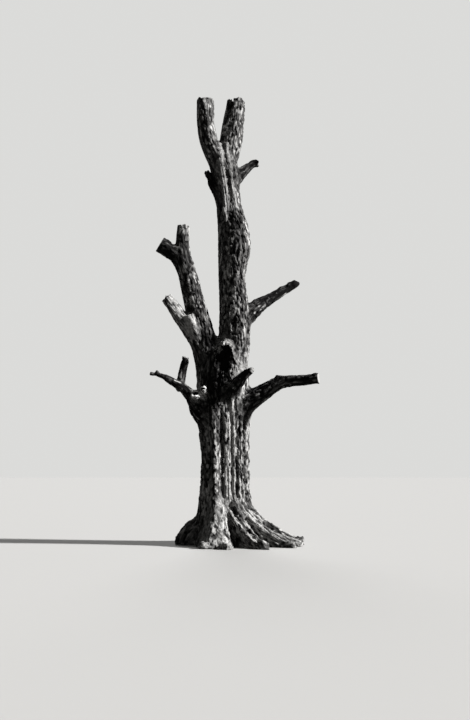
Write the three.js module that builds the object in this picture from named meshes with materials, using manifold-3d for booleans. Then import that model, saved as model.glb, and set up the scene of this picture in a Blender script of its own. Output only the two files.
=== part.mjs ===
// A dead, topped tree that stands 9 m high: a fluted trunk on spreading roots that forks at
// 4 m into an upright leader and a leaning left stem, each ending in short sawn or snapped
// stubs. It has no twigs and no leaves.
//
// Millimetres, +Z up. The origin is the middle of the flat cut at ground level, +X runs towards
// the long right-hand bough, and +Y runs towards the back.
//
// Every limb is a unit cylinder, bent along a centre line and swollen to the limb's girth.
// A limb is cut clear of the limbs that it grows from, and the roots are fused to the trunk.

import * as THREE from "three";
import { mergeVertices } from "three/addons/utils/BufferGeometryUtils.js";
import Module from "manifold-3d";

const wasm = await Module();
wasm.setup();

// Driving dimensions
const GAP = 0.4; // clear space between a limb and the one that carries it
const BURIED = 150; // how far the trunk and roots are modelled below the ground cut
const GROUND_CUT_SIZE = 5000; // block that takes away what is below the ground
const LOBE_COUNT = 3; // broad swellings round a limb's section
const LOBE_HEIGHT = 0.05; // of the limb's radius
const ROUND = { bearing: 0, share: 0 };
const SPLINTER_WAVES = [3, 7, 11]; // teeth round a snapped end, coarse to fine
const HALF_TURN = Math.PI;

// Colours of weathered dead wood, from the bark, the sawn ends and the bare sapwood
const BARK = { color: 0x5f5a54, roughness: 0.95, metalness: 0 };
const BARE_WOOD = { color: 0x9c958a, roughness: 0.85, metalness: 0 };

// A limb's stations are [x, y, z, radius] along its centre line, from its root to its tip.
// end is "sawn" (square), "snapped" (ragged by up to the splinter length) or "point", and a
// bare limb has lost its bark. An oval limb is thickest along a bearing, by a share of its radius,
// and keeps its width from left to right.
const TRUNK = {
  name: "trunk",
  sides: 96,
  rings: 22,
  end: "sawn",
  stations: [
    [0, 0, -BURIED, 690],
    [4, 0, 480, 545],
    [8, 0, 1080, 470],
    [12, 0, 1700, 452],
    [-6, 0, 2330, 492],
    [-34, 0, 2920, 492],
    [-40, 0, 3500, 460],
    [40, 5, 3960, 250],
  ],
};

// Long furrows that run up the trunk between its ribs: bearing in degrees from +X towards +Y at a
// height of 1 m, turning by twist degrees a metre, with the furrow's depth and its width at the
// surface. lean widens its flank on the side of lower bearings and steepens the other one. Each
// wanders a little from side to side on its way up. The last ones part the roots at the ground.
const FURROWS = [
  { bearing: -97.5, twist: -2, depth: 130, width: 95, lean: 0, from: 250, to: 2700 },
  { bearing: -80, twist: -3, depth: 24, width: 50, lean: 0.2, from: 500, to: 1700 },
  { bearing: -66, twist: -4, depth: 46, width: 75, lean: 0.3, from: 250, to: 3300 },
  { bearing: -53, twist: -3, depth: 32, width: 60, lean: 0.3, from: 400, to: 3100 },
  { bearing: -42, twist: -4, depth: 28, width: 50, lean: 0.2, from: 600, to: 2600 },
  { bearing: -31, twist: -3, depth: 50, width: 85, lean: 0.2, from: 250, to: 2900 },
  { bearing: -13, twist: -3, depth: 32, width: 60, lean: 0, from: 300, to: 2300 },
  { bearing: 8, twist: -3, depth: 55, width: 100, lean: 0, from: 250, to: 2500 },
  { bearing: 30, twist: -3, depth: 34, width: 65, lean: 0, from: 400, to: 3000 },
  { bearing: 52, twist: -4, depth: 45, width: 90, lean: 0, from: 300, to: 3200 },
  { bearing: 74, twist: -3, depth: 34, width: 60, lean: 0, from: 300, to: 2800 },
  { bearing: 96, twist: -2, depth: 70, width: 100, lean: 0, from: 300, to: 3000 },
  { bearing: 118, twist: -3, depth: 34, width: 60, lean: 0, from: 400, to: 2700 },
  { bearing: 140, twist: -3, depth: 42, width: 90, lean: 0, from: 300, to: 2600 },
  { bearing: 163, twist: -2, depth: 34, width: 65, lean: 0, from: 350, to: 2400 },
  { bearing: 188, twist: -2, depth: 45, width: 95, lean: 0, from: 450, to: 2300 },
  { bearing: 210, twist: -3, depth: 32, width: 60, lean: 0, from: 400, to: 2700 },
  { bearing: 231, twist: -3, depth: 42, width: 85, lean: 0, from: 350, to: 2900 },
  { bearing: -75, twist: 0, depth: 150, width: 230, lean: 0, from: -600, to: 800 },
  { bearing: -45, twist: 0, depth: 80, width: 150, lean: 0, from: -600, to: 650 },
  { bearing: -19, twist: 0, depth: 90, width: 170, lean: 0, from: -600, to: 700 },
  { bearing: 14, twist: 0, depth: 90, width: 190, lean: 0, from: -600, to: 700 },
  { bearing: 53, twist: 0, depth: 90, width: 200, lean: 0, from: -600, to: 700 },
  { bearing: 92, twist: 0, depth: 90, width: 200, lean: 0, from: -600, to: 700 },
  { bearing: 130, twist: 0, depth: 90, width: 190, lean: 0, from: -600, to: 700 },
  { bearing: 164, twist: 0, depth: 60, width: 150, lean: 0, from: -600, to: 600 },
  { bearing: -151, twist: 0, depth: 50, width: 150, lean: 0, from: -600, to: 500 },
];

// Swellings of the trunk, given in the same way: a rib that stands out to the left of the
// deepest furrow, and a broad flat to its right, where the height is negative
const SWELLINGS = [
  { bearing: -111, twist: -2, height: 110, width: 170, lean: 0.25, from: 350, to: 2750 },
  { bearing: -68, twist: -1, height: -70, width: 640, lean: 0, from: 100, to: 3000 },
];
const FADE = 350; // height over which a furrow or swelling starts and ends
const SWAY = 2; // degrees that it wanders to each side
const WAVE = 2100; // height of one such wave

// Buttress roots: bearing at the tip, how far the tip reaches from the middle, the height at
// which the root's upper edge leaves the trunk, its half thickness there, how far it swings on
// the way down, the share of its thickness left at the tip, and how blunt it is: 0 sweeps down
// in a hollow curve and 1 stays high until near its tip.
const ROOTS = [
  { bearing: -6, reach: 1510, rise: 950, girth: 205, swing: 4, tip: 0.55, blunt: 0.24 },
  { bearing: -33, reach: 1580, rise: 900, girth: 190, swing: 6, tip: 0.5, blunt: 0.2 },
  { bearing: -57, reach: 1440, rise: 950, girth: 200, swing: 10, tip: 0.5, blunt: 0.2 },
  { bearing: -90, reach: 1230, rise: 1000, girth: 200, swing: 24, tip: 0.8, blunt: 0.1 },
  { bearing: -107, reach: 1130, rise: 900, girth: 190, swing: 8, tip: 0.9, blunt: 0.12 },
  { bearing: -128, reach: 720, rise: 560, girth: 190, swing: 0, tip: 0.7, blunt: 0.5 },
  { bearing: -176, reach: 810, rise: 590, girth: 250, swing: 0, tip: 0.72, blunt: 0.8 },
  { bearing: 148, reach: 1100, rise: 850, girth: 215, swing: -8, tip: 0.5, blunt: 0.25 },
  { bearing: 112, reach: 1260, rise: 950, girth: 205, swing: 8, tip: 0.45, blunt: 0.15 },
  { bearing: 72, reach: 1120, rise: 900, girth: 200, swing: -8, tip: 0.5, blunt: 0.2 },
  { bearing: 34, reach: 1350, rise: 950, girth: 205, swing: 8, tip: 0.4, blunt: 0.12 },
];
const ROOT_START = 250; // from the middle of the trunk, well inside the wood
const ROOT_STATIONS = 8;
const ROOT_HOLLOW = 2.2; // power of the hollow curve of a sweeping root
const ROOT_BLUNT = 5; // power of the full curve of a blunt root
const ROOT_FOOT = 60; // how far a root's sides run on below the ground cut
const ROOT_SIDES = 24;

// Ribs that run along a root: how many there are all round, and their height as a share of the
// root's radius
const ROOT_RIBS = [
  { count: 3, height: 0.06 },
  { count: 6, height: 0.11 },
];

// Limbs in the order in which they grow: each is cut clear of those named in from.
const LIMBS = [
  {
    name: "leader",
    from: ["trunk"],
    oval: { bearing: -55, share: 0.1 },
    sides: 24,
    rings: 18,
    end: "sawn",
    stations: [
      [60, 0, 3150, 300],
      [168, 8, 3850, 322],
      [186, 32, 4400, 312],
      [158, 50, 4900, 284],
      [143, 65, 5400, 286],
      [176, 80, 5850, 326],
      [152, 90, 6230, 308],
      [80, 105, 6640, 256],
      [30, 125, 7080, 244],
      [-14, 140, 7480, 270],
      [-70, 150, 7830, 190],
    ],
  },
  {
    name: "left_stem",
    from: ["trunk", "leader"],
    sides: 20,
    rings: 13,
    end: "snapped",
    splinters: 40,
    stations: [
      [-150, 40, 3000, 290],
      [-300, 20, 3480, 288],
      [-448, -40, 4070, 262],
      [-590, -140, 4640, 222],
      [-725, -235, 5180, 196],
      [-828, -285, 5560, 172],
      [-843, -305, 5880, 140],
      [-830, -320, 6215, 118],
    ],
  },
  {
    name: "right_crown_bough",
    from: ["trunk", "leader"],
    sides: 14,
    rings: 11,
    end: "point",
    stations: [
      [120, 20, 4100, 230],
      [300, 60, 4370, 215],
      [494, 100, 4550, 182],
      [737, 150, 4744, 132],
      [1001, 200, 4912, 94],
      [1227, 260, 5054, 80],
      [1400, 300, 5158, 68],
      [1500, 325, 5208, 30],
    ],
  },
  {
    name: "top_left_prong",
    from: ["leader"],
    sides: 20,
    rings: 9,
    end: "snapped",
    splinters: 50,
    stations: [
      [-40, 120, 7420, 200],
      [-205, 85, 7770, 196],
      [-344, 50, 8090, 186],
      [-402, 20, 8400, 182],
      [-414, 0, 8680, 182],
      [-420, -10, 8925, 176],
    ],
  },
  {
    name: "top_right_prong",
    from: ["leader", "top_left_prong"],
    sides: 20,
    rings: 9,
    end: "snapped",
    splinters: 55,
    stations: [
      [-10, 150, 7540, 210],
      [60, 190, 7880, 220],
      [118, 225, 8200, 220],
      [152, 250, 8480, 210],
      [196, 280, 8790, 192],
      [214, 300, 9010, 178],
    ],
  },
  {
    name: "top_right_stub",
    from: ["leader", "top_right_prong"],
    sides: 12,
    rings: 8,
    end: "snapped",
    splinters: 35,
    stations: [
      [70, 110, 7080, 110],
      [176, 150, 7268, 124],
      [317, 180, 7450, 112],
      [455, 205, 7574, 88],
      [560, 225, 7654, 78],
      [650, 240, 7684, 84],
    ],
  },
  {
    name: "top_left_stub",
    from: ["leader", "top_left_prong"],
    sides: 12,
    rings: 7,
    end: "snapped",
    splinters: 30,
    stations: [
      [-20, 100, 6800, 130],
      [-125, 85, 6980, 118],
      [-215, 55, 7130, 98],
      [-300, 20, 7285, 76],
      [-392, -25, 7410, 56],
    ],
  },
  {
    name: "left_stem_sawn_fork",
    from: ["left_stem"],
    sides: 16,
    rings: 6,
    end: "sawn",
    stations: [
      [-740, -250, 5380, 165],
      [-960, -315, 5632, 154],
      [-1130, -360, 5736, 142],
      [-1285, -398, 5828, 132],
    ],
  },
  {
    name: "left_stem_stub",
    from: ["trunk", "left_stem"],
    sides: 14,
    rings: 8,
    end: "snapped",
    splinters: 45,
    stations: [
      [-440, -70, 3760, 175],
      [-602, -130, 4028, 168],
      [-768, -205, 4254, 154],
      [-940, -295, 4486, 134],
      [-1064, -365, 4660, 118],
      [-1148, -412, 4785, 104],
    ],
  },
  {
    name: "right_low_bough",
    from: ["trunk"],
    sides: 18,
    rings: 13,
    end: "sawn",
    stations: [
      [100, 0, 2330, 270],
      [270, -60, 2570, 250],
      [468, -120, 2775, 212],
      [682, -180, 2895, 172],
      [905, -240, 3032, 148],
      [1146, -300, 3132, 124],
      [1451, -380, 3152, 108],
      [1806, -480, 3180, 104],
    ],
  },
  {
    name: "left_low_bough",
    from: ["trunk"],
    sides: 14,
    rings: 13,
    end: "point",
    stations: [
      [-180, -60, 2290, 260],
      [-440, -165, 2590, 215],
      [-575, -250, 2765, 160],
      [-690, -330, 2900, 112],
      [-829, -400, 3028, 86],
      [-1010, -460, 3122, 70],
      [-1189, -520, 3215, 46],
      [-1430, -600, 3266, 15],
    ],
  },
  {
    name: "left_upright_stub",
    from: ["left_low_bough"],
    sides: 10,
    rings: 6,
    end: "snapped",
    splinters: 45,
    stations: [
      [-862, -385, 2980, 76],
      [-848, -350, 3180, 80],
      [-815, -300, 3390, 72],
      [-780, -260, 3585, 58],
    ],
  },
  {
    name: "front_stub",
    from: ["trunk", "right_low_bough"],
    sides: 14,
    rings: 8,
    end: "snapped",
    splinters: 30,
    stations: [
      [-20, -150, 2800, 190],
      [120, -380, 2960, 150],
      [270, -600, 3110, 108],
      [400, -760, 3232, 76],
      [514, -880, 3312, 62],
    ],
  },
  {
    name: "hollow_knot",
    bare: true,
    from: ["trunk", "left_low_bough"],
    sides: 14,
    rings: 4,
    end: "snapped",
    splinters: 20,
    stations: [
      [-430, -170, 2740, 120],
      [-540, -330, 2840, 100],
      [-600, -430, 2885, 86],
    ],
  },
  {
    name: "split_knot",
    bare: true,
    from: ["trunk", "left_low_bough", "hollow_knot"],
    sides: 12,
    rings: 4,
    end: "snapped",
    splinters: 30,
    stations: [
      [-420, -200, 2830, 95],
      [-430, -360, 2935, 76],
      [-400, -470, 2995, 58],
    ],
  },
];

// The rotted hole in the face of the hollow knot
const KNOT_HOLE = { mouth: 48, floor: 34, depth: 110, sides: 10 };

// The frost crack that splits the top of the right prong from front to back: its width at the
// mouth, its depth, how far it runs, the x of its foot and its lean from upright in radians
const CRACK = { mouth: 42, depth: 330, run: 1200, x: 150, lean: 0.07 };

// Burls: rounded swellings [x, y, z, radius] on the limb that they name
const BURLS = {
  right_low_bough: [
    [655, -230, 3020, 62],
    [1085, -290, 3235, 58],
  ],
  left_low_bough: [[-1310, -562, 3292, 40]],
};
const BURL_SIDES = 8;

/** A repeatable number from 0 to 1 for a pair of whole numbers. */
function chance(a, b) {
  const wave = Math.sin(a * 127.1 + b * 311.7) * 43758.5453;
  return wave - Math.floor(wave);
}

/** The signed angle from b to a, within half a turn either way. */
function angleBetween(a, b) {
  const turn = 2 * HALF_TURN;
  return ((((a - b + HALF_TURN) % turn) + turn) % turn) - HALF_TURN;
}

/**
 * How much of its full size a furrow or swelling has at a bearing and a height. Those that start
 * their wave at the same phase wander side by side.
 */
function strength(row, phase, angle, height, radius) {
  const risen = height - row.from;
  const left = row.to - height;
  if (risen < 0 || left < 0) return 0;
  const fade = Math.min(1, risen / FADE) * Math.min(1, left / FADE);
  const sway = SWAY * Math.sin((2 * HALF_TURN * height) / WAVE + phase);
  const bearing = THREE.MathUtils.degToRad(row.bearing + (row.twist * (height - 1000)) / 1000 + sway);
  const off = radius * angleBetween(angle, bearing);
  const across = off / ((row.width / 2) * (1 - Math.sign(off) * row.lean));
  return fade * Math.exp(-across * across);
}

/** The trunk's radius with its swellings added and its furrows cut in. */
function fluted(angle, height, radius) {
  const cuts = FURROWS.map((row, n) => row.depth * strength(row, n, angle, height, radius));
  let swollen = radius;
  for (const row of SWELLINGS) swollen += row.height * strength(row, 0, angle, height, radius);
  return swollen - Math.max(...cuts);
}

/** The swelling of a limb's section at an angle: 1 is the plain radius. */
function lobes(seed, angle, along, oval) {
  const thickest = THREE.MathUtils.degToRad(oval.bearing);
  let swelling = 1 + oval.share * (Math.cos(2 * (angle - thickest)) - Math.cos(2 * thickest));
  for (let n = 1; n <= LOBE_COUNT; n++) {
    const phase = 2 * HALF_TURN * chance(seed, n) + 2 * along;
    swelling += (LOBE_HEIGHT / n) * Math.sin((n + 1) * angle + phase);
  }
  return swelling;
}

/** The ribs of a root's section at an angle from its crest: 1 is the plain radius. */
function ribs(seed, fromCrest) {
  let swelling = 1;
  for (const { count, height } of ROOT_RIBS) {
    swelling += height * Math.cos(count * fromCrest + 2 * HALF_TURN * chance(seed, count));
  }
  return swelling;
}

/** How far a snapped end stands out at an angle. */
function splinter(seed, angle) {
  let height = 0;
  for (const wave of SPLINTER_WAVES) {
    const phase = 2 * HALF_TURN * chance(seed, wave);
    height += Math.sin(wave * angle + phase) / SPLINTER_WAVES.length;
  }
  return height;
}

/** Turns a closed geometry into a solid that can be cut and joined. */
function solidOf(geometry) {
  const bare = geometry.clone();
  bare.deleteAttribute("normal");
  bare.deleteAttribute("uv");
  const merged = mergeVertices(bare, 1e-3);
  return new wasm.Manifold(
    new wasm.Mesh({
      numProp: 3,
      vertProperties: new Float32Array(merged.getAttribute("position").array),
      triVerts: new Uint32Array(merged.index.array),
    }),
  );
}

/** The largest of the pieces that a cut leaves. */
function largest(solid) {
  return solid.decompose().reduce((a, b) => (a.volume() > b.volume() ? a : b));
}

/**
 * A limb as a solid; grow makes it thicker all round, to cut its neighbours clear of it. The
 * sides of a footed limb are drawn down below the ground cut.
 */
function limbSolid(limb, seed, grow = 0) {
  const sleeve = new THREE.CylinderGeometry(1, 1, 1, limb.sides, limb.rings);
  const centres = limb.stations.map(([x, y, z]) => new THREE.Vector3(x, y, z));
  const radii = limb.stations.map((station) => new THREE.Vector3(station[3], 0, 0));
  const line = new THREE.CatmullRomCurve3(centres, false, "catmullrom");
  const girth = new THREE.CatmullRomCurve3(radii, false, "catmullrom");
  const place = sleeve.getAttribute("position");
  const point = new THREE.Vector3();
  for (let i = 0; i < place.count; i++) {
    const along = place.getY(i) + 0.5;
    const out = Math.hypot(place.getX(i), place.getZ(i));
    const angle = Math.atan2(-place.getZ(i), place.getX(i));
    const axis = line.getTangent(along);
    const back = new THREE.Vector3(0, 1, 0).addScaledVector(axis, -axis.y).normalize();
    const side = new THREE.Vector3().crossVectors(back, axis);
    line.getPoint(along, point);
    const plain = girth.getPoint(along).x;
    const worked = limb === TRUNK ? fluted(angle, point.z, plain) : plain;
    const crest = Math.atan2(back.z, side.z);
    const swelling = limb.footed ? ribs(seed, angle - crest) : lobes(seed, angle, along, limb.oval ?? ROUND);
    const radius = out * (worked * swelling + grow);
    const offset = side.multiplyScalar(radius * Math.cos(angle));
    offset.addScaledVector(back, radius * Math.sin(angle));
    if (limb.footed && offset.z < 0) offset.z *= Math.max(1, (point.z + ROOT_FOOT) / plain);
    if (along > 0.999) {
      const ragged = limb.end === "snapped" ? limb.splinters : 0;
      const lift = out > 0.5 ? ragged * splinter(seed, angle) : -ragged / 2;
      offset.addScaledVector(axis, lift + grow);
    }
    point.add(offset);
    place.setXYZ(i, point.x, point.y, point.z);
  }
  return solidOf(sleeve);
}

/** A buttress root as a limb: it falls away from the trunk and thins towards its tip. */
function rootLimb(root) {
  const stations = [];
  for (let n = 0; n < ROOT_STATIONS; n++) {
    const share = n / (ROOT_STATIONS - 1);
    const bearing = THREE.MathUtils.degToRad(root.bearing - root.swing * (1 - share) ** 1.5);
    const distance = ROOT_START + (root.reach - ROOT_START) * share;
    const radius = root.girth * (1 - (1 - root.tip) * share);
    const sweep = (1 - root.blunt) * (1 - share) ** ROOT_HOLLOW + root.blunt * (1 - share ** ROOT_BLUNT);
    const height = root.rise * sweep - radius;
    stations.push([distance * Math.cos(bearing), distance * Math.sin(bearing), height, radius]);
  }
  return { sides: ROOT_SIDES, rings: 8, end: "point", footed: true, stations };
}

/** A block under the ground cut. */
function underground() {
  const block = new THREE.BoxGeometry(GROUND_CUT_SIZE, GROUND_CUT_SIZE, GROUND_CUT_SIZE);
  block.translate(0, 0, -GROUND_CUT_SIZE / 2);
  return solidOf(block);
}

/** The trunk with its roots, cut flat at the ground. */
function trunkSolid(grow) {
  let solid = limbSolid(TRUNK, 1, grow);
  ROOTS.forEach((root, n) => {
    solid = solid.add(limbSolid(rootLimb(root), 20 + n, grow));
  });
  return largest(solid.subtract(underground()));
}

/** A burl as a rounded solid. */
function burlSolid([x, y, z, radius]) {
  const ball = new THREE.SphereGeometry(radius, BURL_SIDES, BURL_SIDES / 2);
  ball.translate(x, y, z);
  return solidOf(ball);
}

/** The wedge of air in the frost crack, thin at its foot. */
function crackSolid(prong) {
  const [, y, z] = prong.stations.at(-1);
  const outline = new THREE.Shape();
  outline.moveTo(0, -CRACK.depth);
  outline.lineTo(CRACK.mouth, CRACK.depth);
  outline.lineTo(-CRACK.mouth / 2, CRACK.depth);
  const wedge = new THREE.ExtrudeGeometry(outline, { depth: CRACK.run, bevelEnabled: false });
  wedge.rotateX(HALF_TURN / 2);
  wedge.rotateY(CRACK.lean);
  wedge.translate(CRACK.x, y + CRACK.run / 2, z);
  return solidOf(wedge);
}

/** The rotted hole of the hollow knot, along the knot's own line. */
function knotHoleSolid(knot) {
  const [tip, before] = [knot.stations.at(-1), knot.stations.at(-2)];
  const mouth = new THREE.Vector3(...tip.slice(0, 3));
  const axis = mouth.clone().sub(new THREE.Vector3(...before.slice(0, 3))).normalize();
  const { floor, depth, sides } = KNOT_HOLE;
  const hole = new THREE.CylinderGeometry(KNOT_HOLE.mouth, floor, 2 * depth, sides);
  hole.applyQuaternion(new THREE.Quaternion().setFromUnitVectors(new THREE.Vector3(0, 1, 0), axis));
  hole.translate(mouth.x, mouth.y, mouth.z);
  return solidOf(hole);
}

/** A solid as a named mesh of the given finish. */
function meshOf(name, solid, finish) {
  const { vertProperties, triVerts, numProp } = solid.getMesh();
  const corners = new Float32Array((vertProperties.length / numProp) * 3);
  for (let i = 0; i < corners.length / 3; i++) {
    corners.set(vertProperties.subarray(i * numProp, i * numProp + 3), i * 3);
  }
  const geometry = new THREE.BufferGeometry();
  geometry.setAttribute("position", new THREE.BufferAttribute(corners, 3));
  geometry.setIndex(new THREE.BufferAttribute(new Uint32Array(triVerts), 1));
  geometry.computeVertexNormals();
  const mesh = new THREE.Mesh(geometry, new THREE.MeshStandardMaterial(finish));
  mesh.name = name;
  return mesh;
}

const tree = new THREE.Group();
const cutters = { trunk: trunkSolid(GAP) };
tree.add(meshOf("trunk", trunkSolid(0), BARK));

LIMBS.forEach((limb, n) => {
  let solid = limbSolid(limb, 2 + n);
  cutters[limb.name] = limbSolid(limb, 2 + n, GAP);
  for (const burl of BURLS[limb.name] ?? []) solid = solid.add(burlSolid(burl));
  if (limb.name === "top_right_prong") solid = solid.subtract(crackSolid(limb));
  if (limb.name === "hollow_knot") solid = solid.subtract(knotHoleSolid(limb));
  for (const carrier of limb.from) solid = solid.subtract(cutters[carrier]);
  tree.add(meshOf(limb.name, largest(solid), limb.bare ? BARE_WOOD : BARK));
});

export default tree;
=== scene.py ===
"""Looks of a dead, topped tree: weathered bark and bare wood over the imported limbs.

Everything is in metres with +Z up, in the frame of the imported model. The limbs are measured as
one signed distance, in which each runs smoothly into the one that carries it. Bark plates,
furrows, cracks, scars and torn ends are worked into that distance, and the skin is meshed from
it on a fine lattice. The skin is then parted into one closed piece for each limb.
"""

import logging
import math
from collections.abc import Callable
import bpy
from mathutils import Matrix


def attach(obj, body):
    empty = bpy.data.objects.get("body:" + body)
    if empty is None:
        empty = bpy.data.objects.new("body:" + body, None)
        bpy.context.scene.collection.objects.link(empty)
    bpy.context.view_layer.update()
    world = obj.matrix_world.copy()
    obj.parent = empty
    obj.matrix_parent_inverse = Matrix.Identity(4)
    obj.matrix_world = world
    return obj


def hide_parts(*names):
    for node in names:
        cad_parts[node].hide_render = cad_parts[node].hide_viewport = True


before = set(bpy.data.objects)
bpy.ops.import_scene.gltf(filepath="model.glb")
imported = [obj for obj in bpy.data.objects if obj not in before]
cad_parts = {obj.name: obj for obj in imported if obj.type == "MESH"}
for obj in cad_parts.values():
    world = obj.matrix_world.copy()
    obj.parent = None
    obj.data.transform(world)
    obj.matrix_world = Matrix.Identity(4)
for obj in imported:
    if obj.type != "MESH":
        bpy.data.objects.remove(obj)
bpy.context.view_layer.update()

from concurrent.futures import ThreadPoolExecutor
from dataclasses import dataclass, field, fields
from enum import Enum

import bpy
import numpy as np
import openvdb
from mathutils import Vector

Array = np.ndarray
NodeTree = bpy.types.NodeTree
Socket = bpy.types.NodeSocket
MM = 0.001
LOG = logging.getLogger("dead_tree")

# The lattice that the skin is meshed on, the height below which its points are set on the
# ground, and how much is measured at a time
VOXEL = 11.5 * MM
BLOCK = 8
LEVEL = 0.4 * VOXEL
NEAREST_ROWS = 200000
BLOCKS_AT_ONCE = 600
THREADS = 4

# The side of the noise's lattice, how far a shift moves it each way, and what chance is made of
NOISE_SIDE = 64
NOISE_STEPS = (1.0, 1.7, 2.3)
CHANCE_STEPS = (127.1, 311.7)
CHANCE_SCALE = 43758.5453

# The least lengths that anything is divided by
LEAST_OUT = 1e-6
LEAST_OFFSET = 1e-9
LEAST_LENGTH = 1e-12

# How far round a limb its skin is measured, and the swellings of its section
NEAR_SHARE = 1.2
NEAR_MARGIN = 0.24
LOBE_WAVES = (1, 2, 3)
LOBE_HEIGHT = 0.05

# A place that is past neither end of its limb, and how far down the roots are measured
WELL_INSIDE = -1.0
BELOW_GROUND = -1.0

# Sizes in metres of the patterns that shape bark and wood: two across the grain and one along
# it. The real ones go down to 1 mm, too fine to show, so the finest here are 26 mm wide. The
# swell has only its length here, as each limb's relief has its width.
SWAY_CELL = (0.25, 0.25, 0.45)
SWELL_LENGTH = 0.6
LUMP_CELL = (0.045, 0.045, 0.09)
SMALL_CELL = (0.026, 0.026, 0.05)
PIT_CELL = (0.04, 0.04, 0.07)
PEEL_CELL = (0.11, 0.11, 0.32)
FLAKE_CELL = (0.045, 0.045, 0.09)
CRACK_CELL = (0.05, 0.05, 0.9)
KNOB_CELL = (0.11, 0.11, 0.13)
BURL_CELL = (0.05, 0.05, 0.05)
TEAR_CELL = (0.07, 0.07, 1.0)
FINE_TEAR_CELL = (0.028, 0.028, 1.0)
ROT_CELL = (0.09, 0.09, 0.12)
FINE_ROT_CELL = (0.035, 0.035, 0.06)

# How far the sway moves the other patterns, and how long a block of bark is for its width
SWAY_SHARE = 0.12
BLOCK_LENGTH = 2.8

# Shares of finer patterns in ropes, blocks and cracks, and of the patterns in peeling bark
ROPE_FRAY = 0.12
BLOCK_FRAY = 0.1
CRACK_FRAY = 0.05
PEEL_SHARE = 0.5
FLAKE_SHARE = 0.6
PEEL_FRAY = 0.3

# Shares of the patterns in lumps, torn ends, rot and torn lips
LUMP_SHARE = 0.6
SMALL_SHARE = 0.65
TEAR_SHARE = 0.9
FINE_TEAR_SHARE = 0.7
FINE_ROT_SHARE = 0.8
LIP_TEAR = 1.2

# How rough and how pitted bare wood is, where bark is 1, and how knobby a limb is, where its tip
# has 1 more
BARE_ROUGH = 0.5
BARE_PITS = 0.4
KNOB_SHARE = 0.35

# How much of the depth of gaps, fissures and pits goes into lifting the skin between them
ROPE_LIFT = 0.3
BLOCK_LIFT = 0.3
PIT_LIFT = 0.1

# How much painted shade, with some dirt, darkens gaps, fissures, pits and cracks, how much
# painted shade darkens kept bark, and how much painted light spares lumps of it
GAP_SHADE_AND_DIRT = 0.75
FISSURE_SHADE_AND_DIRT = 0.7
PIT_SHADE_AND_DIRT = 0.6
CRACK_SHADE_AND_DIRT = 0.8
KEPT_PAINTED_SHADE = 0.6
LUMP_PAINTED_LIGHT = 0.25

# How wide gaps, fissures and cracks are, in values of their pattern
GAP_WIDTH = 0.17
FISSURE_WIDTH = 0.18
CRACK_WIDTH = 0.09

# Values between which a pit sinks in, bark gives way to bare wood, kept bark is painted dark as
# painted shade, a shaded side turns calm and a hollow's lip rises
PIT_EDGES = (0.2, 0.5)
BARE_EDGES = (0.15, 0.4)
KEPT_EDGES = (0.7, 1.4)
CALM_EDGES = (0.2, 0.75)
LIP_EDGES = (0.3, 0.8)

# The radius from which relief has its full size, and its least share on thin limbs
FULL_RADIUS = 0.22
LEAST_SIZE = 0.55

# How deep lost bark leaves the wood, how far knobs reach from a tip, and the depth of rope from
# which its gaps are fully dirty
LOST_BARK = 0.006
TIP_LENGTH = 0.2
DEEP_ROPE = 0.02


def smoothstep(low: float, high: float, value: Array) -> Array:
    """Ramps from 0 to 1 as a value goes from low to high.

    Args:
        low: value at which the ramp starts.
        high: value at which it ends.
        value: the values.

    Returns:
        The ramp, level at both ends.
    """
    share = np.clip((value - low) / (high - low), 0.0, 1.0)
    return share * share * (3.0 - 2.0 * share)


def chance(first: int, second: int) -> float:
    """A repeatable number from 0 to 1 for a pair of whole numbers, as the solids use.

    Args:
        first: any whole number, such as a limb's seed.
        second: any whole number, such as a wave's count.

    Returns:
        The number.
    """
    wave = math.sin(first * CHANCE_STEPS[0] + second * CHANCE_STEPS[1]) * CHANCE_SCALE
    return wave - math.floor(wave)


class Noise:
    """Smooth repeatable noise from random values on a lattice that repeats."""

    def __init__(self, seed: int) -> None:
        """Draws the lattice's values."""
        values = np.random.default_rng(seed).uniform(-1.0, 1.0, NOISE_SIDE**3)
        self.values = values.astype(np.float32)

    def at(self, places: Array, cell: tuple[float, float, float], shift: float = 0.0) -> Array:
        """Reads the noise.

        Args:
            places: (N, 3) places in metres.
            cell: the size of a lattice cell along each axis, in metres.
            shift: moves the pattern, to draw another from the same values.

        Returns:
            N values from -1 to 1.
        """
        moved = np.array([step * shift for step in NOISE_STEPS], np.float32)
        scaled = places / np.array(cell, np.float32) + moved
        low = np.floor(scaled)
        share = (scaled - low).astype(np.float32)
        share = share * share * (3.0 - 2.0 * share)
        low = low.astype(np.int32) & (NOISE_SIDE - 1)
        high = (low + 1) & (NOISE_SIDE - 1)
        strides = (NOISE_SIDE * NOISE_SIDE, NOISE_SIDE, 1)
        near = [low[:, axis] * strides[axis] for axis in range(3)]
        far = [high[:, axis] * strides[axis] for axis in range(3)]
        rows = []
        for x in (near[0], far[0]):
            for y in (near[1], far[1]):
                start = self.values.take(x + y + near[2])
                rows.append(start + (self.values.take(x + y + far[2]) - start) * share[:, 2])
        left = rows[0] + (rows[1] - rows[0]) * share[:, 1]
        right = rows[2] + (rows[3] - rows[2]) * share[:, 1]
        return left + (right - left) * share[:, 0]


def nearest_of(points: Array, centres: Array) -> Array:
    """Finds the nearest of some centres to each point.

    Args:
        points: (N, D) points.
        centres: (K, D) centres.

    Returns:
        N indices of centres.
    """
    centres = centres.astype(np.float32)
    squares = (centres**2).sum(1)
    nearest = np.empty(len(points), np.int64)
    for start in range(0, len(points), NEAREST_ROWS):
        rows = slice(start, start + NEAREST_ROWS)
        nearest[rows] = np.argmin(squares - 2 * points[rows].astype(np.float32) @ centres.T, axis=1)
    return nearest


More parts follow.
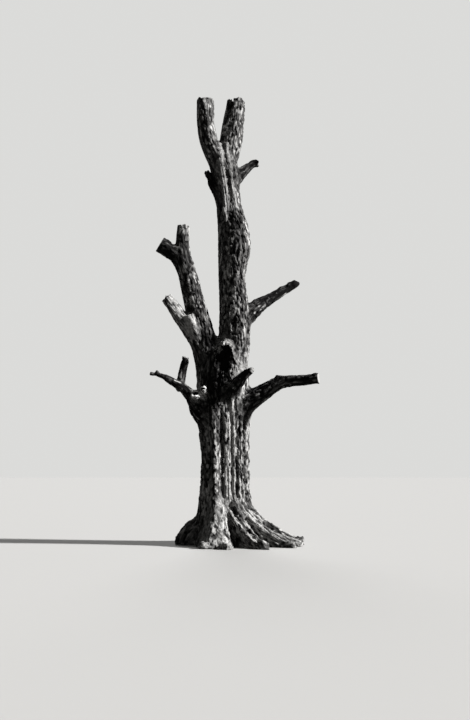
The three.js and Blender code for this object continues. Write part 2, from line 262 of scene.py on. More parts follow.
def curve_at(stations: Array, shares: Array) -> tuple[Array, Array]:
    """A smooth curve through stations, the same one that the solids follow.

    Args:
        stations: (M, D) stations.
        shares: where to read it: 0 is the first station and 1 the last.

    Returns:
        The curve's values and its rates of change.
    """
    before = 2 * stations[0] - stations[1]
    after = 2 * stations[-1] - stations[-2]
    held = np.vstack([before, stations, after])
    place = shares * (len(stations) - 1)
    span = np.minimum(place.astype(int), len(stations) - 2)
    t = (place - span)[:, None]
    p0, p1, p2, p3 = (held[span + n] for n in range(4))
    slope_in, slope_out = (p2 - p0) / 2, (p3 - p1) / 2
    square = -3 * p1 + 3 * p2 - 2 * slope_in - slope_out
    cube = 2 * p1 - 2 * p2 + slope_in + slope_out
    value = p1 + slope_in * t + square * t**2 + cube * t**3
    rate = slope_in + 2 * square * t + 3 * cube * t**2
    return value, rate


class End(Enum):
    """How a limb's far end is finished."""

    SAWN = "sawn"
    SNAPPED = "snapped"
    POINT = "point"


@dataclass
class Places:
    """Where points lie on one limb."""

    along: Array
    across: Array
    radius: Array
    distance: Array
    beyond: Array
    height: Array

    def on_surface(self) -> Array:
        """Moves the points square to the limb's line onto its plain surface.

        Returns:
            (N, 3) points in the limb's axes: two across the limb and one along it.
        """
        out = np.linalg.norm(self.across, axis=1) + LEAST_OUT
        across = self.across * (self.radius / out)[:, None]
        return np.column_stack([across, self.along]).astype(np.float32)

    def taken(self, rows: Array) -> "Places":
        """Some of the places."""
        return Places(*(getattr(self, kept.name)[rows] for kept in fields(self)))


@dataclass(frozen=True)
class Relief:
    """How a limb's skin is worked, in metres: widths across the grain and depths into the limb.

    Ropes are rounded ridges along the grain with narrow gaps between them. Blocks are what bark
    breaks up into. Knobs are round swellings, which grow towards the limb's end. Lumps and pits
    roughen all of them, and cracks run along bare wood. Bare is above 0 where more of the bark
    has gone. Calm is the share of all this that is missing on the side away from the sun, and
    stain is painted shade: how much darker the bark is painted on limbs that stand in shade.
    """

    swell: float = 0.012
    swell_width: float = 0.2
    rope: float = 0.028
    rope_width: float = 0.085
    rope_length: float = 0.7
    block: float = 0.022
    block_width: float = 0.06
    lump: float = 0.015
    pit: float = 0.014
    knob: float = 0.0
    crack: float = 0.010
    calm: float = 0.0
    # Painted shade: how much darker the bark is painted on limbs that stand in shade
    stain: float = 0.0
    bare: float = -0.1


@dataclass
class Limb:
    """A round limb along a smooth line, swollen by the same lobes as its solid.

    Stations are (x, y, z, radius) in millimetres, as the solids have them. An oval limb is thickest
    along the first number, a bearing, by the second, a share of its radius.
    """

    name: str
    seed: int
    stations: tuple[tuple[float, float, float, float], ...]
    end: End = End.SNAPPED
    splinters: float = 0.04
    blend: float = 0.07
    relief: Relief = field(default_factory=Relief)
    step: float = 0.035
    oval: tuple[float, float] = (0.0, 0.0)

    def __post_init__(self) -> None:
        """Traces the limb's line."""
        self.trace(np.array(self.stations, float) * MM)

    def trace(self, stations: Array) -> None:
        """Samples the centre line, its frame and its girth.

        Args:
            stations: (M, 4) centres and radii in metres.
        """
        length = np.linalg.norm(np.diff(stations[:, :3], axis=0), axis=1).sum()
        self.shares = np.linspace(0, 1, max(8, int(length / self.step)))
        value, rate = curve_at(stations, self.shares)
        self.centres = value[:, :3]
        self.girth = value[:, 3]
        self.axis = rate[:, :3] / np.linalg.norm(rate[:, :3], axis=1)[:, None]
        back = np.array([0.0, 1.0, 0.0]) - self.axis[:, 1:2] * self.axis
        self.back = back / np.linalg.norm(back, axis=1)[:, None]
        self.side = np.cross(self.back, self.axis)
        steps = np.linalg.norm(np.diff(self.centres, axis=0), axis=1)
        self.run = np.concatenate([[0.0], np.cumsum(steps)])
        reach = self.girth.max() * NEAR_SHARE + NEAR_MARGIN
        self.low = self.centres.min(0) - reach
        self.high = self.centres.max(0) + reach

    def near(self, points: Array) -> Array:
        """Tells which points lie within reach of the limb.

        Args:
            points: (N, 3) points.

        Returns:
            The indices of those within reach.
        """
        inside = np.all((points > self.low) & (points < self.high), axis=1)
        return np.nonzero(inside)[0]

    def follow(self, points: Array) -> tuple[Array, Array, Array, Array]:
        """Finds each point's place on the centre line.

        Args:
            points: (N, 3) points.

        Returns:
            The sample before it, the share of the way to the next, how far it lies past an end
            of the line, and its offset from the line.
        """
        count = len(self.centres)
        nearest = nearest_of(points, self.centres)
        ahead = np.einsum("ij,ij->i", points - self.centres[nearest], self.axis[nearest])
        first = np.clip(np.where(ahead < 0, nearest - 1, nearest), 0, count - 2)
        span = self.run[first + 1] - self.run[first]
        raw = (self.run[nearest] + ahead - self.run[first]) / span
        share = np.clip(raw, 0.0, 1.0)
        beyond = np.where(raw > 1.0, (raw - 1.0) * span, np.where(raw < 0.0, -raw * span, 0.0))
        centre = self.centres[first] + (self.centres[first + 1] - self.centres[first]) * share[:, None]
        return first, share, beyond, points - centre

    def mixed(self, values: Array, first: Array, share: Array) -> Array:
        """Reads values between samples.

        Args:
            values: a value or vector for each sample.
            first: the samples before the places.
            share: the shares of the way to the next samples.

        Returns:
            The values at the places.
        """
        weight = share if values.ndim == 1 else share[:, None]
        return values[first] * (1 - weight) + values[first + 1] * weight

    def locate(self, points: Array) -> Places:
        """Finds where points lie on the limb, and how far they are from its plain surface.

        Args:
            points: (N, 3) points.

        Returns:
            Their places.
        """
        first, share, beyond, offset = self.follow(points)
        u = np.einsum("ij,ij->i", offset, self.mixed(self.side, first, share))
        v = np.einsum("ij,ij->i", offset, self.mixed(self.back, first, share))
        angle = np.arctan2(v, u)
        part = self.mixed(self.shares, first, share)
        radius = self.mixed(self.girth, first, share)
        radius = self.shaped(radius, angle, points[:, 2]) * self.lobes(angle, part)
        distance = np.hypot(u, v) - radius
        along = self.mixed(self.run, first, share)
        at_root = (first == 0) & (share <= 0.0)
        beyond = np.where(at_root, beyond, along - self.run[-1] + beyond)
        return Places(along, np.column_stack([u, v]), radius, distance, beyond, points[:, 2])

    def shaped(self, radius: Array, angle: Array, height: Array) -> Array:
        """The radius after carving. A plain limb has none."""
        return radius

    def lobes(self, angle: Array, part: Array) -> Array:
        """The swelling of the limb's section, as on its solid.

        Args:
            angle: bearing round the section.
            part: share of the way along the limb.

        Returns:
            The swelling: 1 is the plain radius.
        """
        thickest = math.radians(self.oval[0])
        swelling = 1 + self.oval[1] * (np.cos(2 * (angle - thickest)) - math.cos(2 * thickest))
        for wave in LOBE_WAVES:
            phase = 2 * math.pi * chance(self.seed, wave) + 2 * part
            swelling += LOBE_HEIGHT / wave * np.sin((wave + 1) * angle + phase)
        return swelling

    def ragged(self, places: Places, noise: Noise) -> Array:
        """How far the end's face stands out at each place.

        Args:
            places: places on the limb.
            noise: the noise to tear it with.

        Returns:
            The face's height along the limb.
        """
        if self.end is not End.SNAPPED:
            return np.zeros_like(places.along)
        spot = np.column_stack([places.across, np.zeros_like(places.along)])
        coarse = noise.at(spot, TEAR_CELL, self.seed)
        fine = noise.at(spot, FINE_TEAR_CELL, self.seed + 9)
        return self.splinters * (TEAR_SHARE * coarse + FINE_TEAR_SHARE * fine)


@dataclass(frozen=True)
class Furrow:
    """A long furrow up the trunk, or a swelling where its depth is negative.

    Bearings are in degrees and lengths in millimetres. Lean widens its flank on the side of lower
    bearings and steepens the other one.
    """

    bearing: float
    twist: float
    depth: float
    width: float
    lean: float
    bottom: float
    top: float

    def strength(self, phase: float, angle: Array, height: Array, radius: Array) -> Array:
        """How much of its full size it has.

        Args:
            phase: where the wave that it wanders in starts.
            angle: bearings in radians.
            height: heights above the ground.
            radius: the trunk's plain radii.

        Returns:
            The shares, from 0 to 1.
        """
        rise = height / MM
        fade = np.clip((rise - self.bottom) / FADE, 0, 1) * np.clip((self.top - rise) / FADE, 0, 1)
        sway = SWAY * np.sin(2 * math.pi * rise / WAVE + phase)
        bearing = np.radians(self.bearing + self.twist * (height - 1.0) + sway)
        off = radius * ((angle - bearing + math.pi) % (2 * math.pi) - math.pi)
        off = off / (self.width * MM / 2 * (1 - np.sign(off) * self.lean))
        return fade * np.exp(-off * off)


# Bearing, twist, depth, width, lean, bottom and top of each furrow and swelling, as in the solids
FURROWS = (
    Furrow(-97.5, -2, 130, 95, 0, 250, 2700),
    Furrow(-80, -3, 24, 50, 0.2, 500, 1700),
    Furrow(-66, -4, 46, 75, 0.3, 250, 3300),
    Furrow(-53, -3, 32, 60, 0.3, 400, 3100),
    Furrow(-42, -4, 28, 50, 0.2, 600, 2600),
    Furrow(-31, -3, 50, 85, 0.2, 250, 2900),
    Furrow(-13, -3, 32, 60, 0, 300, 2300),
    Furrow(8, -3, 55, 100, 0, 250, 2500),
    Furrow(30, -3, 34, 65, 0, 400, 3000),
    Furrow(52, -4, 45, 90, 0, 300, 3200),
    Furrow(74, -3, 34, 60, 0, 300, 2800),
    Furrow(96, -2, 70, 100, 0, 300, 3000),
    Furrow(118, -3, 34, 60, 0, 400, 2700),
    Furrow(140, -3, 42, 90, 0, 300, 2600),
    Furrow(163, -2, 34, 65, 0, 350, 2400),
    Furrow(188, -2, 45, 95, 0, 450, 2300),
    Furrow(210, -3, 32, 60, 0, 400, 2700),
    Furrow(231, -3, 42, 85, 0, 350, 2900),
    Furrow(-75, 0, 150, 230, 0, -600, 800),
    Furrow(-45, 0, 80, 150, 0, -600, 650),
    Furrow(-19, 0, 90, 170, 0, -600, 700),
    Furrow(14, 0, 90, 190, 0, -600, 700),
    Furrow(53, 0, 90, 200, 0, -600, 700),
    Furrow(92, 0, 90, 200, 0, -600, 700),
    Furrow(130, 0, 90, 190, 0, -600, 700),
    Furrow(164, 0, 60, 150, 0, -600, 600),
    Furrow(-151, 0, 50, 150, 0, -600, 500),
)
SWELLINGS = (
    Furrow(-111, -2, -110, 170, 0.25, 350, 2750),
    Furrow(-68, -1, 70, 640, 0, 100, 3000),
)

# The height over which a furrow starts and ends, its wander in degrees and the wander's length
FADE = 350.0
SWAY = 2.0
WAVE = 2100.0


@dataclass
class Trunk(Limb):
    """The trunk, with long furrows between its flutes."""

    def shaped(self, radius: Array, angle: Array, height: Array) -> Array:
        """Adds the swellings to the radius and cuts the furrows into it.

        Args:
            radius: plain radii.
            angle: bearings in radians.
            height: heights above the ground.

        Returns:
            The radii of the fluted trunk.
        """
        deepest = np.zeros_like(radius)
        for index, furrow in enumerate(FURROWS):
            cut = furrow.depth * MM * furrow.strength(index, angle, height, radius)
            deepest = np.maximum(deepest, cut)
        swollen = radius
        for swelling in SWELLINGS:
            swollen = swollen - swelling.depth * MM * swelling.strength(0.0, angle, height, radius)
        return swollen - deepest


# Where a root starts and how many stations it has, the powers of its fall, of its blunt tip and
# of its swing, and the ribs that run along it: how many there are all round, and their height as
# a share of the root's radius
ROOT_START = 250.0
ROOT_STATIONS = 8
ROOT_HOLLOW = 2.2
ROOT_BLUNT = 5
ROOT_SWING = 1.5
ROOT_RIBS = ((3, 0.06), (6, 0.11))


@dataclass
class Root(Limb):
    """A buttress root: a limb along a falling line, with sides that run down into the ground.

    Bearings are in degrees and lengths in millimetres, as the solids have them.
    """

    bearing: float = 0.0
    reach: float = 1200.0
    rise: float = 900.0
    thickness: float = 200.0
    swing: float = 0.0
    tip: float = 0.45
    blunt: float = 0.15

    def __post_init__(self) -> None:
        """Works out the root's line from its sizes."""
        share = np.linspace(0, 1, ROOT_STATIONS)
        bearing = np.radians(self.bearing - self.swing * (1 - share) ** ROOT_SWING)
        distance = ROOT_START + (self.reach - ROOT_START) * share
        radius = self.thickness * (1 - (1 - self.tip) * share)
        sweep = (1 - self.blunt) * (1 - share) ** ROOT_HOLLOW + self.blunt * (1 - share**ROOT_BLUNT)
        height = self.rise * sweep - radius
        stations = np.column_stack([distance * np.cos(bearing), distance * np.sin(bearing), height, radius])
        self.trace(stations * MM)
        self.low[2] = BELOW_GROUND

    def locate(self, points: Array) -> Places:
        """Finds where points lie on the root. Below its line, its sides are upright.

        Args:
            points: (N, 3) points.

        Returns:
            Their places.
        """
        lifted = points.copy()
        level = self.centres[nearest_of(points[:, :2], self.centres[:, :2]), 2]
        lifted[:, 2] = np.maximum(points[:, 2], level)
        first, share, beyond, offset = self.follow(lifted)
        axis = self.mixed(self.axis, first, share)
        flat = np.column_stack([-axis[:, 1], axis[:, 0]])
        flat /= np.linalg.norm(flat, axis=1)[:, None]
        u = np.einsum("ij,ij->i", offset[:, :2], flat)
        out = np.linalg.norm(offset, axis=1)
        v = np.sqrt(np.maximum(out * out - u * u, 0.0))
        radius = self.mixed(self.girth, first, share) * self.ribs(np.arctan2(v, u) - math.pi / 2)
        sunk = np.minimum(points[:, 2] - level, 0.0)
        along = self.mixed(self.run, first, share)
        across = np.column_stack([u, v + sunk])
        inside = np.full(len(points), WELL_INSIDE)
        return Places(along, across, radius, out - radius, inside, points[:, 2])

    def ribs(self, from_crest: Array) -> Array:
        """The ribs that run along the root, as on its solid.

        Args:
            from_crest: bearing round the section from its upper edge.

        Returns:
            The swelling: 1 is the plain radius.
        """
        swelling = np.ones_like(from_crest)
        for count, height in ROOT_RIBS:
            phase = 2 * math.pi * chance(self.seed, count)
            swelling += height * np.cos(count * from_crest + phase)
        return swelling


class Lattice:
    """Keeps a signed distance in blocks near a surface, and gives the closed skin of it."""

    def __init__(self, low: Array, high: Array, margin: float) -> None:
        """Notes the space to search.

        Args:
            low: lowest corner.
            high: highest corner.
            margin: how far the worked surface may stand from the plain one.
        """
        self.low = np.floor(low / (VOXEL * BLOCK)).astype(int) - 1
        self.high = np.ceil(high / (VOXEL * BLOCK)).astype(int) + 1
        self.margin = margin

    def blocks(self, distance: Callable[[Array], Array]) -> Array:
        """Finds the blocks that the surface may pass through.

        Args:
            distance: gives points' distances from the plain surface.

        Returns:
            (N, 3) block indices.
        """
        spans = [np.arange(a, b) for a, b in zip(self.low, self.high)]
        grid = np.stack(np.meshgrid(*spans, indexing="ij"), -1).reshape(-1, 3)
        centres = (grid * BLOCK + (BLOCK - 1) / 2) * VOXEL
        reach = BLOCK * VOXEL * math.sqrt(3) / 2 + self.margin
        return grid[np.abs(distance(centres)) < reach]

    def skin(
        self, distance: Callable[[Array], Array], worked: Callable[[Array], Array]
    ) -> tuple[Array, Array]:
        """Meshes the surface.

        Args:
            distance: gives points' distances from the plain surface.
            worked: gives points' distances from the worked surface.

        Returns:
            (N, 3) points and (M, 4) quads, facing out.
        """
        blocks = self.blocks(distance)
        offsets = np.stack(np.meshgrid(*[np.arange(BLOCK)] * 3, indexing="ij"), -1).reshape(-1, 3)
        band = 3 * VOXEL
        grid = openvdb.FloatGrid(background=band)

        def measured(start: int) -> Array:
            """Measures some of the blocks.

            Args:
                start: the first of them.

            Returns:
                The distances at their points, block by block.
            """
            part = blocks[start : start + BLOCKS_AT_ONCE]
            places = (part[:, None] * BLOCK + offsets[None]).reshape(-1, 3) * VOXEL
            return worked(places).astype(np.float32)

        with ThreadPoolExecutor(THREADS) as pool:
            values = np.concatenate(list(pool.map(measured, range(0, len(blocks), BLOCKS_AT_ONCE))))
        values = np.clip(values, -band, band)
        for index, block in enumerate(blocks * BLOCK):
            cube = values[index * BLOCK**3 : (index + 1) * BLOCK**3].reshape(BLOCK, BLOCK, BLOCK)
            grid.copyFromArray(cube, ijk=tuple(int(n) for n in block))
        grid.signedFloodFill()
        grid.transform = openvdb.createLinearTransform(voxelSize=VOXEL)
        points, quads = grid.convertToQuads(0.0)
        return points.astype(np.float64), quads.astype(np.int64)


# How the skin of each kind of limb is worked

TRUNK_RELIEF = Relief(
    rope=0.010,
    rope_width=0.07,
    rope_length=0.8,
    block=0.016,
    block_width=0.05,
    lump=0.026,
    pit=0.026,
    calm=0.4,
    bare=0.2,
)
ROOT_RELIEF = Relief(
    swell=0.02,
    rope=0.006,
    rope_width=0.09,
    block=0.010,
    lump=0.034,
    pit=0.020,
    knob=0.11,
    bare=0.25,
)
LEADER_RELIEF = Relief(
    swell=0.012,
    rope=0.012,
    rope_width=0.08,
    block=0.022,
    block_width=0.045,
    lump=0.018,
    pit=0.020,
    calm=0.7,
    bare=-0.02,
)
STEM_RELIEF = Relief(
    swell=0.010,
    rope=0.010,
    rope_width=0.07,
    block=0.014,
    block_width=0.045,
    lump=0.012,
    calm=0.7,
    # The stem's bark is painted a little darker, as painted shade
    stain=0.2,
    bare=-0.08,
)
PRONG_RELIEF = Relief(
    swell=0.010,
    rope=0.010,
    rope_width=0.07,
    block=0.016,
    block_width=0.05,
    lump=0.016,
    pit=0.018,
    calm=0.8,
    bare=-0.02,
)
BOUGH_RELIEF = Relief(
    swell=0.008,
    rope=0.014,
    rope_width=0.07,
    block=0.014,
    lump=0.016,
    knob=0.030,
    # The boughs' bark is painted darker, as painted shade
    stain=0.5,
    bare=-0.3,
)
KNOT_RELIEF = Relief(
    swell=0.006,
    rope=0.020,
    rope_width=0.06,
    block=0.0,
    lump=0.024,
    pit=0.025,
    knob=0.035,
    bare=0.8,
)
RIDGE_RELIEF = Relief(
    swell=0.006,
    rope=0.012,
    rope_width=0.06,
    block=0.008,
    lump=0.030,
    pit=0.020,
    knob=0.020,
    bare=0.5,
)

# The limbs, from the ground up, as the solids have them

TRUNK = Trunk(
    "trunk",
    1,
    (
        (0, 0, -150, 690),
        (4, 0, 480, 545),
        (8, 0, 1080, 470),
        (12, 0, 1700, 452),
        (-6, 0, 2330, 492),
        (-34, 0, 2920, 492),
        (-40, 0, 3500, 460),
        (40, 5, 3960, 250),
    ),
    End.SAWN,
    relief=TRUNK_RELIEF,
)

# Bearing, reach, rise, thickness, swing, tip and bluntness of each root, as in the solids
ROOT_MEASURES = ("bearing", "reach", "rise", "thickness", "swing", "tip", "blunt")
ROOT_SEED = 20
ROOT_SIZES = (
    (-6, 1510, 950, 205, 4, 0.55, 0.24),
    (-33, 1580, 900, 190, 6, 0.5, 0.2),
    (-57, 1440, 950, 200, 10, 0.5, 0.2),
    (-90, 1230, 1000, 200, 24, 0.8, 0.1),
    (-107, 1130, 900, 190, 8, 0.9, 0.12),
    (-128, 720, 560, 190, 0, 0.7, 0.5),
    (-176, 810, 590, 250, 0, 0.72, 0.8),
    (148, 1100, 850, 215, -8, 0.5, 0.25),
    (112, 1260, 950, 205, 8, 0.45, 0.15),
    (72, 1120, 900, 200, -8, 0.5, 0.2),
    (34, 1350, 950, 205, 8, 0.4, 0.12),
)


def roots() -> list[Root]:
    """The buttress roots, from their sizes.

    Returns:
        One root for each row of ROOT_SIZES.
    """
    made = []
    for index, row in enumerate(ROOT_SIZES):
        sizes = dict(zip(ROOT_MEASURES, row))
        name = f"root_{index + 1}"
        made.append(Root(name, ROOT_SEED + index, (), End.POINT, blend=0.08, relief=ROOT_RELIEF, **sizes))
    return made


LEADER = Limb(
    "leader",
    2,
    (
        (60, 0, 3150, 300),
        (168, 8, 3850, 322),
        (186, 32, 4400, 312),
        (158, 50, 4900, 284),
        (143, 65, 5400, 286),
        (176, 80, 5850, 326),
        (152, 90, 6230, 308),
        (80, 105, 6640, 256),
        (30, 125, 7080, 244),
        (-14, 140, 7480, 270),
        (-70, 150, 7830, 190),
    ),
    End.SAWN,
    blend=0.10,
    relief=LEADER_RELIEF,
    oval=(-55.0, 0.1),
)

LEFT_STEM = Limb(
    "left_stem",
    3,
    (
        (-150, 40, 3000, 290),
        (-300, 20, 3480, 288),
        (-448, -40, 4070, 262),
        (-590, -140, 4640, 222),
        (-725, -235, 5180, 196),
        (-828, -285, 5560, 172),
        (-843, -305, 5880, 140),
        (-830, -320, 6215, 118),
    ),
    splinters=0.040,
    blend=0.10,
    relief=STEM_RELIEF,
)

BOUGHS = (
    Limb(
        "right_crown_bough",
        4,
        (
            (120, 20, 4100, 230),
            (300, 60, 4370, 215),
            (494, 100, 4550, 182),
            (737, 150, 4744, 132),
            (1001, 200, 4912, 94),
            (1227, 260, 5054, 80),
            (1400, 300, 5158, 68),
            (1500, 325, 5208, 30),
        ),
        End.POINT,
        relief=BOUGH_RELIEF,
    ),
    Limb(
        "top_left_prong",
        5,
        (
            (-40, 120, 7420, 200),
            (-205, 85, 7770, 196),
            (-344, 50, 8090, 186),
            (-402, 20, 8400, 182),
            (-414, 0, 8680, 182),
            (-420, -10, 8925, 176),
        ),
        splinters=0.05,
        relief=PRONG_RELIEF,
    ),
    Limb(
        "top_right_prong",
        6,
        (
            (-10, 150, 7540, 210),
            (60, 190, 7880, 220),
            (118, 225, 8200, 220),
            (152, 250, 8480, 210),
            (196, 280, 8790, 192),
            (214, 300, 9010, 178),
        ),
        splinters=0.05,
        relief=PRONG_RELIEF,
    ),
    Limb(
        "top_right_stub",
        7,
        (
            (70, 110, 7080, 110),
            (176, 150, 7268, 124),
            (317, 180, 7450, 112),
            (455, 205, 7574, 88),
            (560, 225, 7654, 78),
            (650, 240, 7684, 84),
        ),
        splinters=0.03,
        relief=BOUGH_RELIEF,
    ),
    Limb(
        "top_left_stub",
        8,
        (
            (-20, 100, 6800, 130),
            (-125, 85, 6980, 118),
            (-215, 55, 7130, 98),
            (-300, 20, 7285, 76),
            (-392, -25, 7410, 56),
        ),
        splinters=0.03,
        relief=BOUGH_RELIEF,
    ),
    Limb(
        "left_stem_sawn_fork",
        9,
        (
            (-740, -250, 5380, 165),
            (-960, -315, 5632, 154),
            (-1130, -360, 5736, 142),
            (-1285, -398, 5828, 132),
        ),
        End.SAWN,
        relief=BOUGH_RELIEF,
    ),
    Limb(
        "left_stem_stub",
        10,
        (
            (-440, -70, 3760, 175),
            (-602, -130, 4028, 168),
            (-768, -205, 4254, 154),
            (-940, -295, 4486, 134),
            (-1064, -365, 4660, 118),
            (-1148, -412, 4785, 104),
        ),
        splinters=0.045,
        relief=RIDGE_RELIEF,
    ),
    Limb(
        "right_low_bough",
        11,
        (
            (100, 0, 2330, 270),
            (270, -60, 2570, 250),
            (468, -120, 2775, 212),
            (682, -180, 2895, 172),
            (905, -240, 3032, 148),
            (1146, -300, 3132, 124),
            (1451, -380, 3152, 108),
            (1806, -480, 3180, 104),
        ),
        End.SAWN,
        blend=0.09,
        relief=BOUGH_RELIEF,
    ),
    Limb(
        "left_low_bough",
        12,
        (
            (-180, -60, 2290, 260),
            (-440, -165, 2590, 215),
            (-575, -250, 2765, 160),
            (-690, -330, 2900, 112),
            (-829, -400, 3028, 86),
            (-1010, -460, 3122, 70),
            (-1189, -520, 3215, 46),
            (-1430, -600, 3266, 15),
        ),
        End.POINT,
        blend=0.09,
        relief=BOUGH_RELIEF,
    ),
    Limb(
        "left_upright_stub",
        13,
        (
            (-862, -385, 2980, 76),
            (-848, -350, 3180, 80),
            (-815, -300, 3390, 72),
            (-780, -260, 3585, 58),
        ),
        splinters=0.045,
        blend=0.04,
        relief=BOUGH_RELIEF,
    ),
    Limb(
        "front_stub",
        14,
        (
            (-20, -150, 2800, 190),
            (120, -380, 2960, 150),
            (270, -600, 3110, 108),
            (400, -760, 3232, 76),
            (514, -880, 3312, 62),
        ),
        splinters=0.03,
        relief=BOUGH_RELIEF,
    ),
    Limb(
        "hollow_knot",
        15,
        ((-430, -170, 2740, 120), (-540, -330, 2840, 100), (-600, -430, 2885, 86)),
        splinters=0.02,
        blend=0.04,
        relief=KNOT_RELIEF,
        step=0.02,
    ),
    Limb(
        "split_knot",
        16,
        ((-420, -200, 2830, 95), (-430, -360, 2935, 76), (-400, -470, 2995, 58)),
        splinters=0.03,
        blend=0.04,
        relief=KNOT_RELIEF,
        step=0.02,
    ),
)


@dataclass
class Ridge(Limb):
    """A raised ridge of wood that runs along another limb, with no torn end of its own."""

    splinters: float = 0.0
    on: str = "trunk"


# Torn, lumpy wood, and smooth strands of bare wood
TORN_RELIEF = Relief(
    swell=0.010,
    rope=0.020,
    rope_width=0.05,
    block=0.030,
    lump=0.060,
    pit=0.045,
    knob=0.060,
    bare=0.25,
)
STRAND_RELIEF = Relief(
    swell=0.006,
    rope=0.030,
    rope_width=0.05,
    block=0.0,
    lump=0.016,
    pit=0.014,
    knob=0.010,
    bare=1.0,
)

# The torn rim over the fork's hollow, ribs and a blade of bare wood, a callus and two root feet
RIDGES = (
    Ridge(
        "fork_collar",
        41,
        (
            (-150, -370, 3780, 30),
            (-90, -385, 3850, 45),
            (-25, -400, 3850, 62),
            (40, -405, 3905, 50),
            (100, -385, 3880, 62),
            (165, -340, 3800, 45),
            (190, -310, 3690, 35),
        ),
        relief=TORN_RELIEF,
    ),
    Ridge(
        "leader_left_rib",
        42,
        (
            (-135, 10, 8000, 40),
            (-95, -80, 7700, 48),
            (-50, -122, 7350, 52),
            (-5, -142, 6950, 52),
            (20, -172, 6600, 50),
            (25, -190, 6400, 25),
        ),
        blend=0.04,
        relief=STRAND_RELIEF,
        on="leader",
    ),
    Ridge(
        "leader_right_rib",
        43,
        (
            (10, 15, 8000, 35),
            (40, -62, 7700, 42),
            (90, -112, 7350, 45),
            (150, -118, 6950, 45),
            (215, -112, 6600, 30),
        ),
        blend=0.05,
        relief=STRAND_RELIEF,
        on="leader",
    ),
    Ridge(
        "stem_callus",
        44,
        (
            (-705, -330, 4430, 90),
            (-650, -325, 4280, 105),
            (-590, -300, 4130, 90),
            (-540, -270, 3980, 50),
        ),
        blend=0.06,
        relief=RIDGE_RELIEF,
        on="left_stem",
    ),
    Ridge(
        "leader_blade",
        45,
        ((-36, -178, 6660, 22), (-14, -202, 6560, 42), (4, -217, 6450, 46), (14, -217, 6330, 18)),
        blend=0.02,
        relief=STRAND_RELIEF,
        on="leader",
    ),
    Ridge(
        "front_root_spread",
        46,
        (
            (-110, -460, 760, 80),
            (-115, -640, 400, 180),
            (-110, -800, 150, 255),
            (-95, -950, -40, 275),
            (-80, -1060, -210, 270),
        ),
        relief=RIDGE_RELIEF,
        oval=(-15.0, 0.25),
    ),
    Ridge(
        "right_root_spread",
        47,
        ((820, -270, 190, 90), (1050, -370, 110, 110), (1270, -450, 40, 125), (1450, -500, -10, 105)),
        relief=RIDGE_RELIEF,
    ),
)


@dataclass(frozen=True)
class Patch:
    """A place on a limb where the bark has gone, or has stayed on.

    The middle is a height in millimetres and a bearing in degrees; tall and wide are half sizes
    in millimetres. The amount is above 0 where the bark has gone and below 0 where it stayed,
    where the bark is painted darker as painted shade.
    """

    limb: str
    height: float
    bearing: float
    tall: float
    wide: float
    amount: float

    def at(self, places: Places) -> Array:
        """The patch's strength.

        Args:
            places: places on the patch's limb.

        Returns:
            Its amount in the middle, fading to 0 past its edges.
        """
        angle = np.arctan2(places.across[:, 1], places.across[:, 0])
        turned = (angle - math.radians(self.bearing) + math.pi) % (2 * math.pi) - math.pi
        up = (places.height / MM - self.height) / self.tall
        off = places.radius * turned / (self.wide * MM)
        return self.amount * np.exp(-((up * up + off * off) ** 2))


# Limb, height, bearing, half height, half width and amount; below 0 it is painted shade
PATCHES = (
    Patch("trunk", 1600, -78, 900, 130, 1.1),
    Patch("trunk", 1560, -80, 240, 110, 0.5),
    Patch("trunk", 2600, -76, 450, 170, 1.0),
    Patch("trunk", 2250, -14, 420, 110, 1.2),
    Patch("trunk", 3450, -55, 330, 130, 0.7),
    Patch("trunk", 3050, -114, 680, 230, -1.7),
    Patch("trunk", 2990, -82, 240, 120, -1.6),
    Patch("root_4", 400, 60, 600, 420, 1.0),
    Patch("root_5", 400, 60, 600, 420, 1.0),
    Patch("leader", 3750, -60, 420, 130, 0.5),
    Patch("leader", 4650, -78, 220, 70, 0.8),
    Patch("leader", 3500, -110, 500, 250, -1.5),
    Patch("leader", 6300, -95, 400, 250, -0.8),
    Patch("left_stem", 3700, -90, 700, 300, -1.5),
    Patch("left_stem", 6150, -60, 140, 200, 0.4),
    Patch("left_stem_stub", 4300, -30, 500, 160, 0.9),
    Patch("stem_callus", 4300, -30, 500, 200, 0.6),
    Patch("left_low_bough", 2950, -20, 260, 80, 1.0),
)


@dataclass(frozen=True)
class Burl:
    """A round swelling that stands out of a limb: its middle and radius in millimetres."""

    middle: tuple[float, float, float]
    radius: float

    def distance(self, points: Array) -> Array:
        """Points' distances from its plain surface."""
        return np.linalg.norm(points - np.array(self.middle) * MM, axis=1) - self.radius * MM


# Knobs on the boughs, the knots and the roots: how smoothly they run into them, how far round
# they are measured, how rough they are, and where they stand
BURL_BLEND = 0.05
BURL_NEAR = 0.2
BURL_ROUGH = 0.025
BURLS = (
    Burl((655, -190, 2985), 62),
    Burl((1040, -290, 3205), 60),
    Burl((-1306, -570, 3290), 34),
    Burl((1440, -150, 75), 85),
    Burl((1230, -800, 60), 90),
    Burl((720, -1120, 60), 90),
    Burl((60, -1180, 40), 90),
    Burl((-390, -1040, 60), 75),
    Burl((1130, 228, 5045), 52),
    Burl((-622, -505, 2870), 26),
    Burl((-600, -510, 2825), 28),
    Burl((-560, -515, 2830), 26),
    Burl((1300, 275, 5150), 50),
    Burl((1400, 300, 5185), 60),
    Burl((-850, -330, 225), 50),
    Burl((-840, -350, 120), 60),
)


@dataclass(frozen=True)
class Hollow:
    """An egg-shaped cavity: its middle and half sizes in millimetres."""

    middle: tuple[float, float, float]
    halves: tuple[float, float, float]
    rough: float = 12.0
    lip: float = 0.0

    def upward(self, points: Array) -> Array:
        """How far up points lie from the middle, as a share of their distance across the front."""
        offset = points - np.array(self.middle) * MM
        return offset[:, 2] / (np.hypot(offset[:, 0], offset[:, 2]) + LEAST_OFFSET)

    def distance(self, points: Array) -> Array:
        """Points' distances from the cavity's wall, below 0 inside it.

        Args:
            points: (N, 3) points.

        Returns:
            The distances, near enough close to the wall.
        """
        halves = np.array(self.halves) * MM
        offset = (points - np.array(self.middle) * MM) / halves
        return (np.linalg.norm(offset, axis=1) - 1.0) * halves.min()


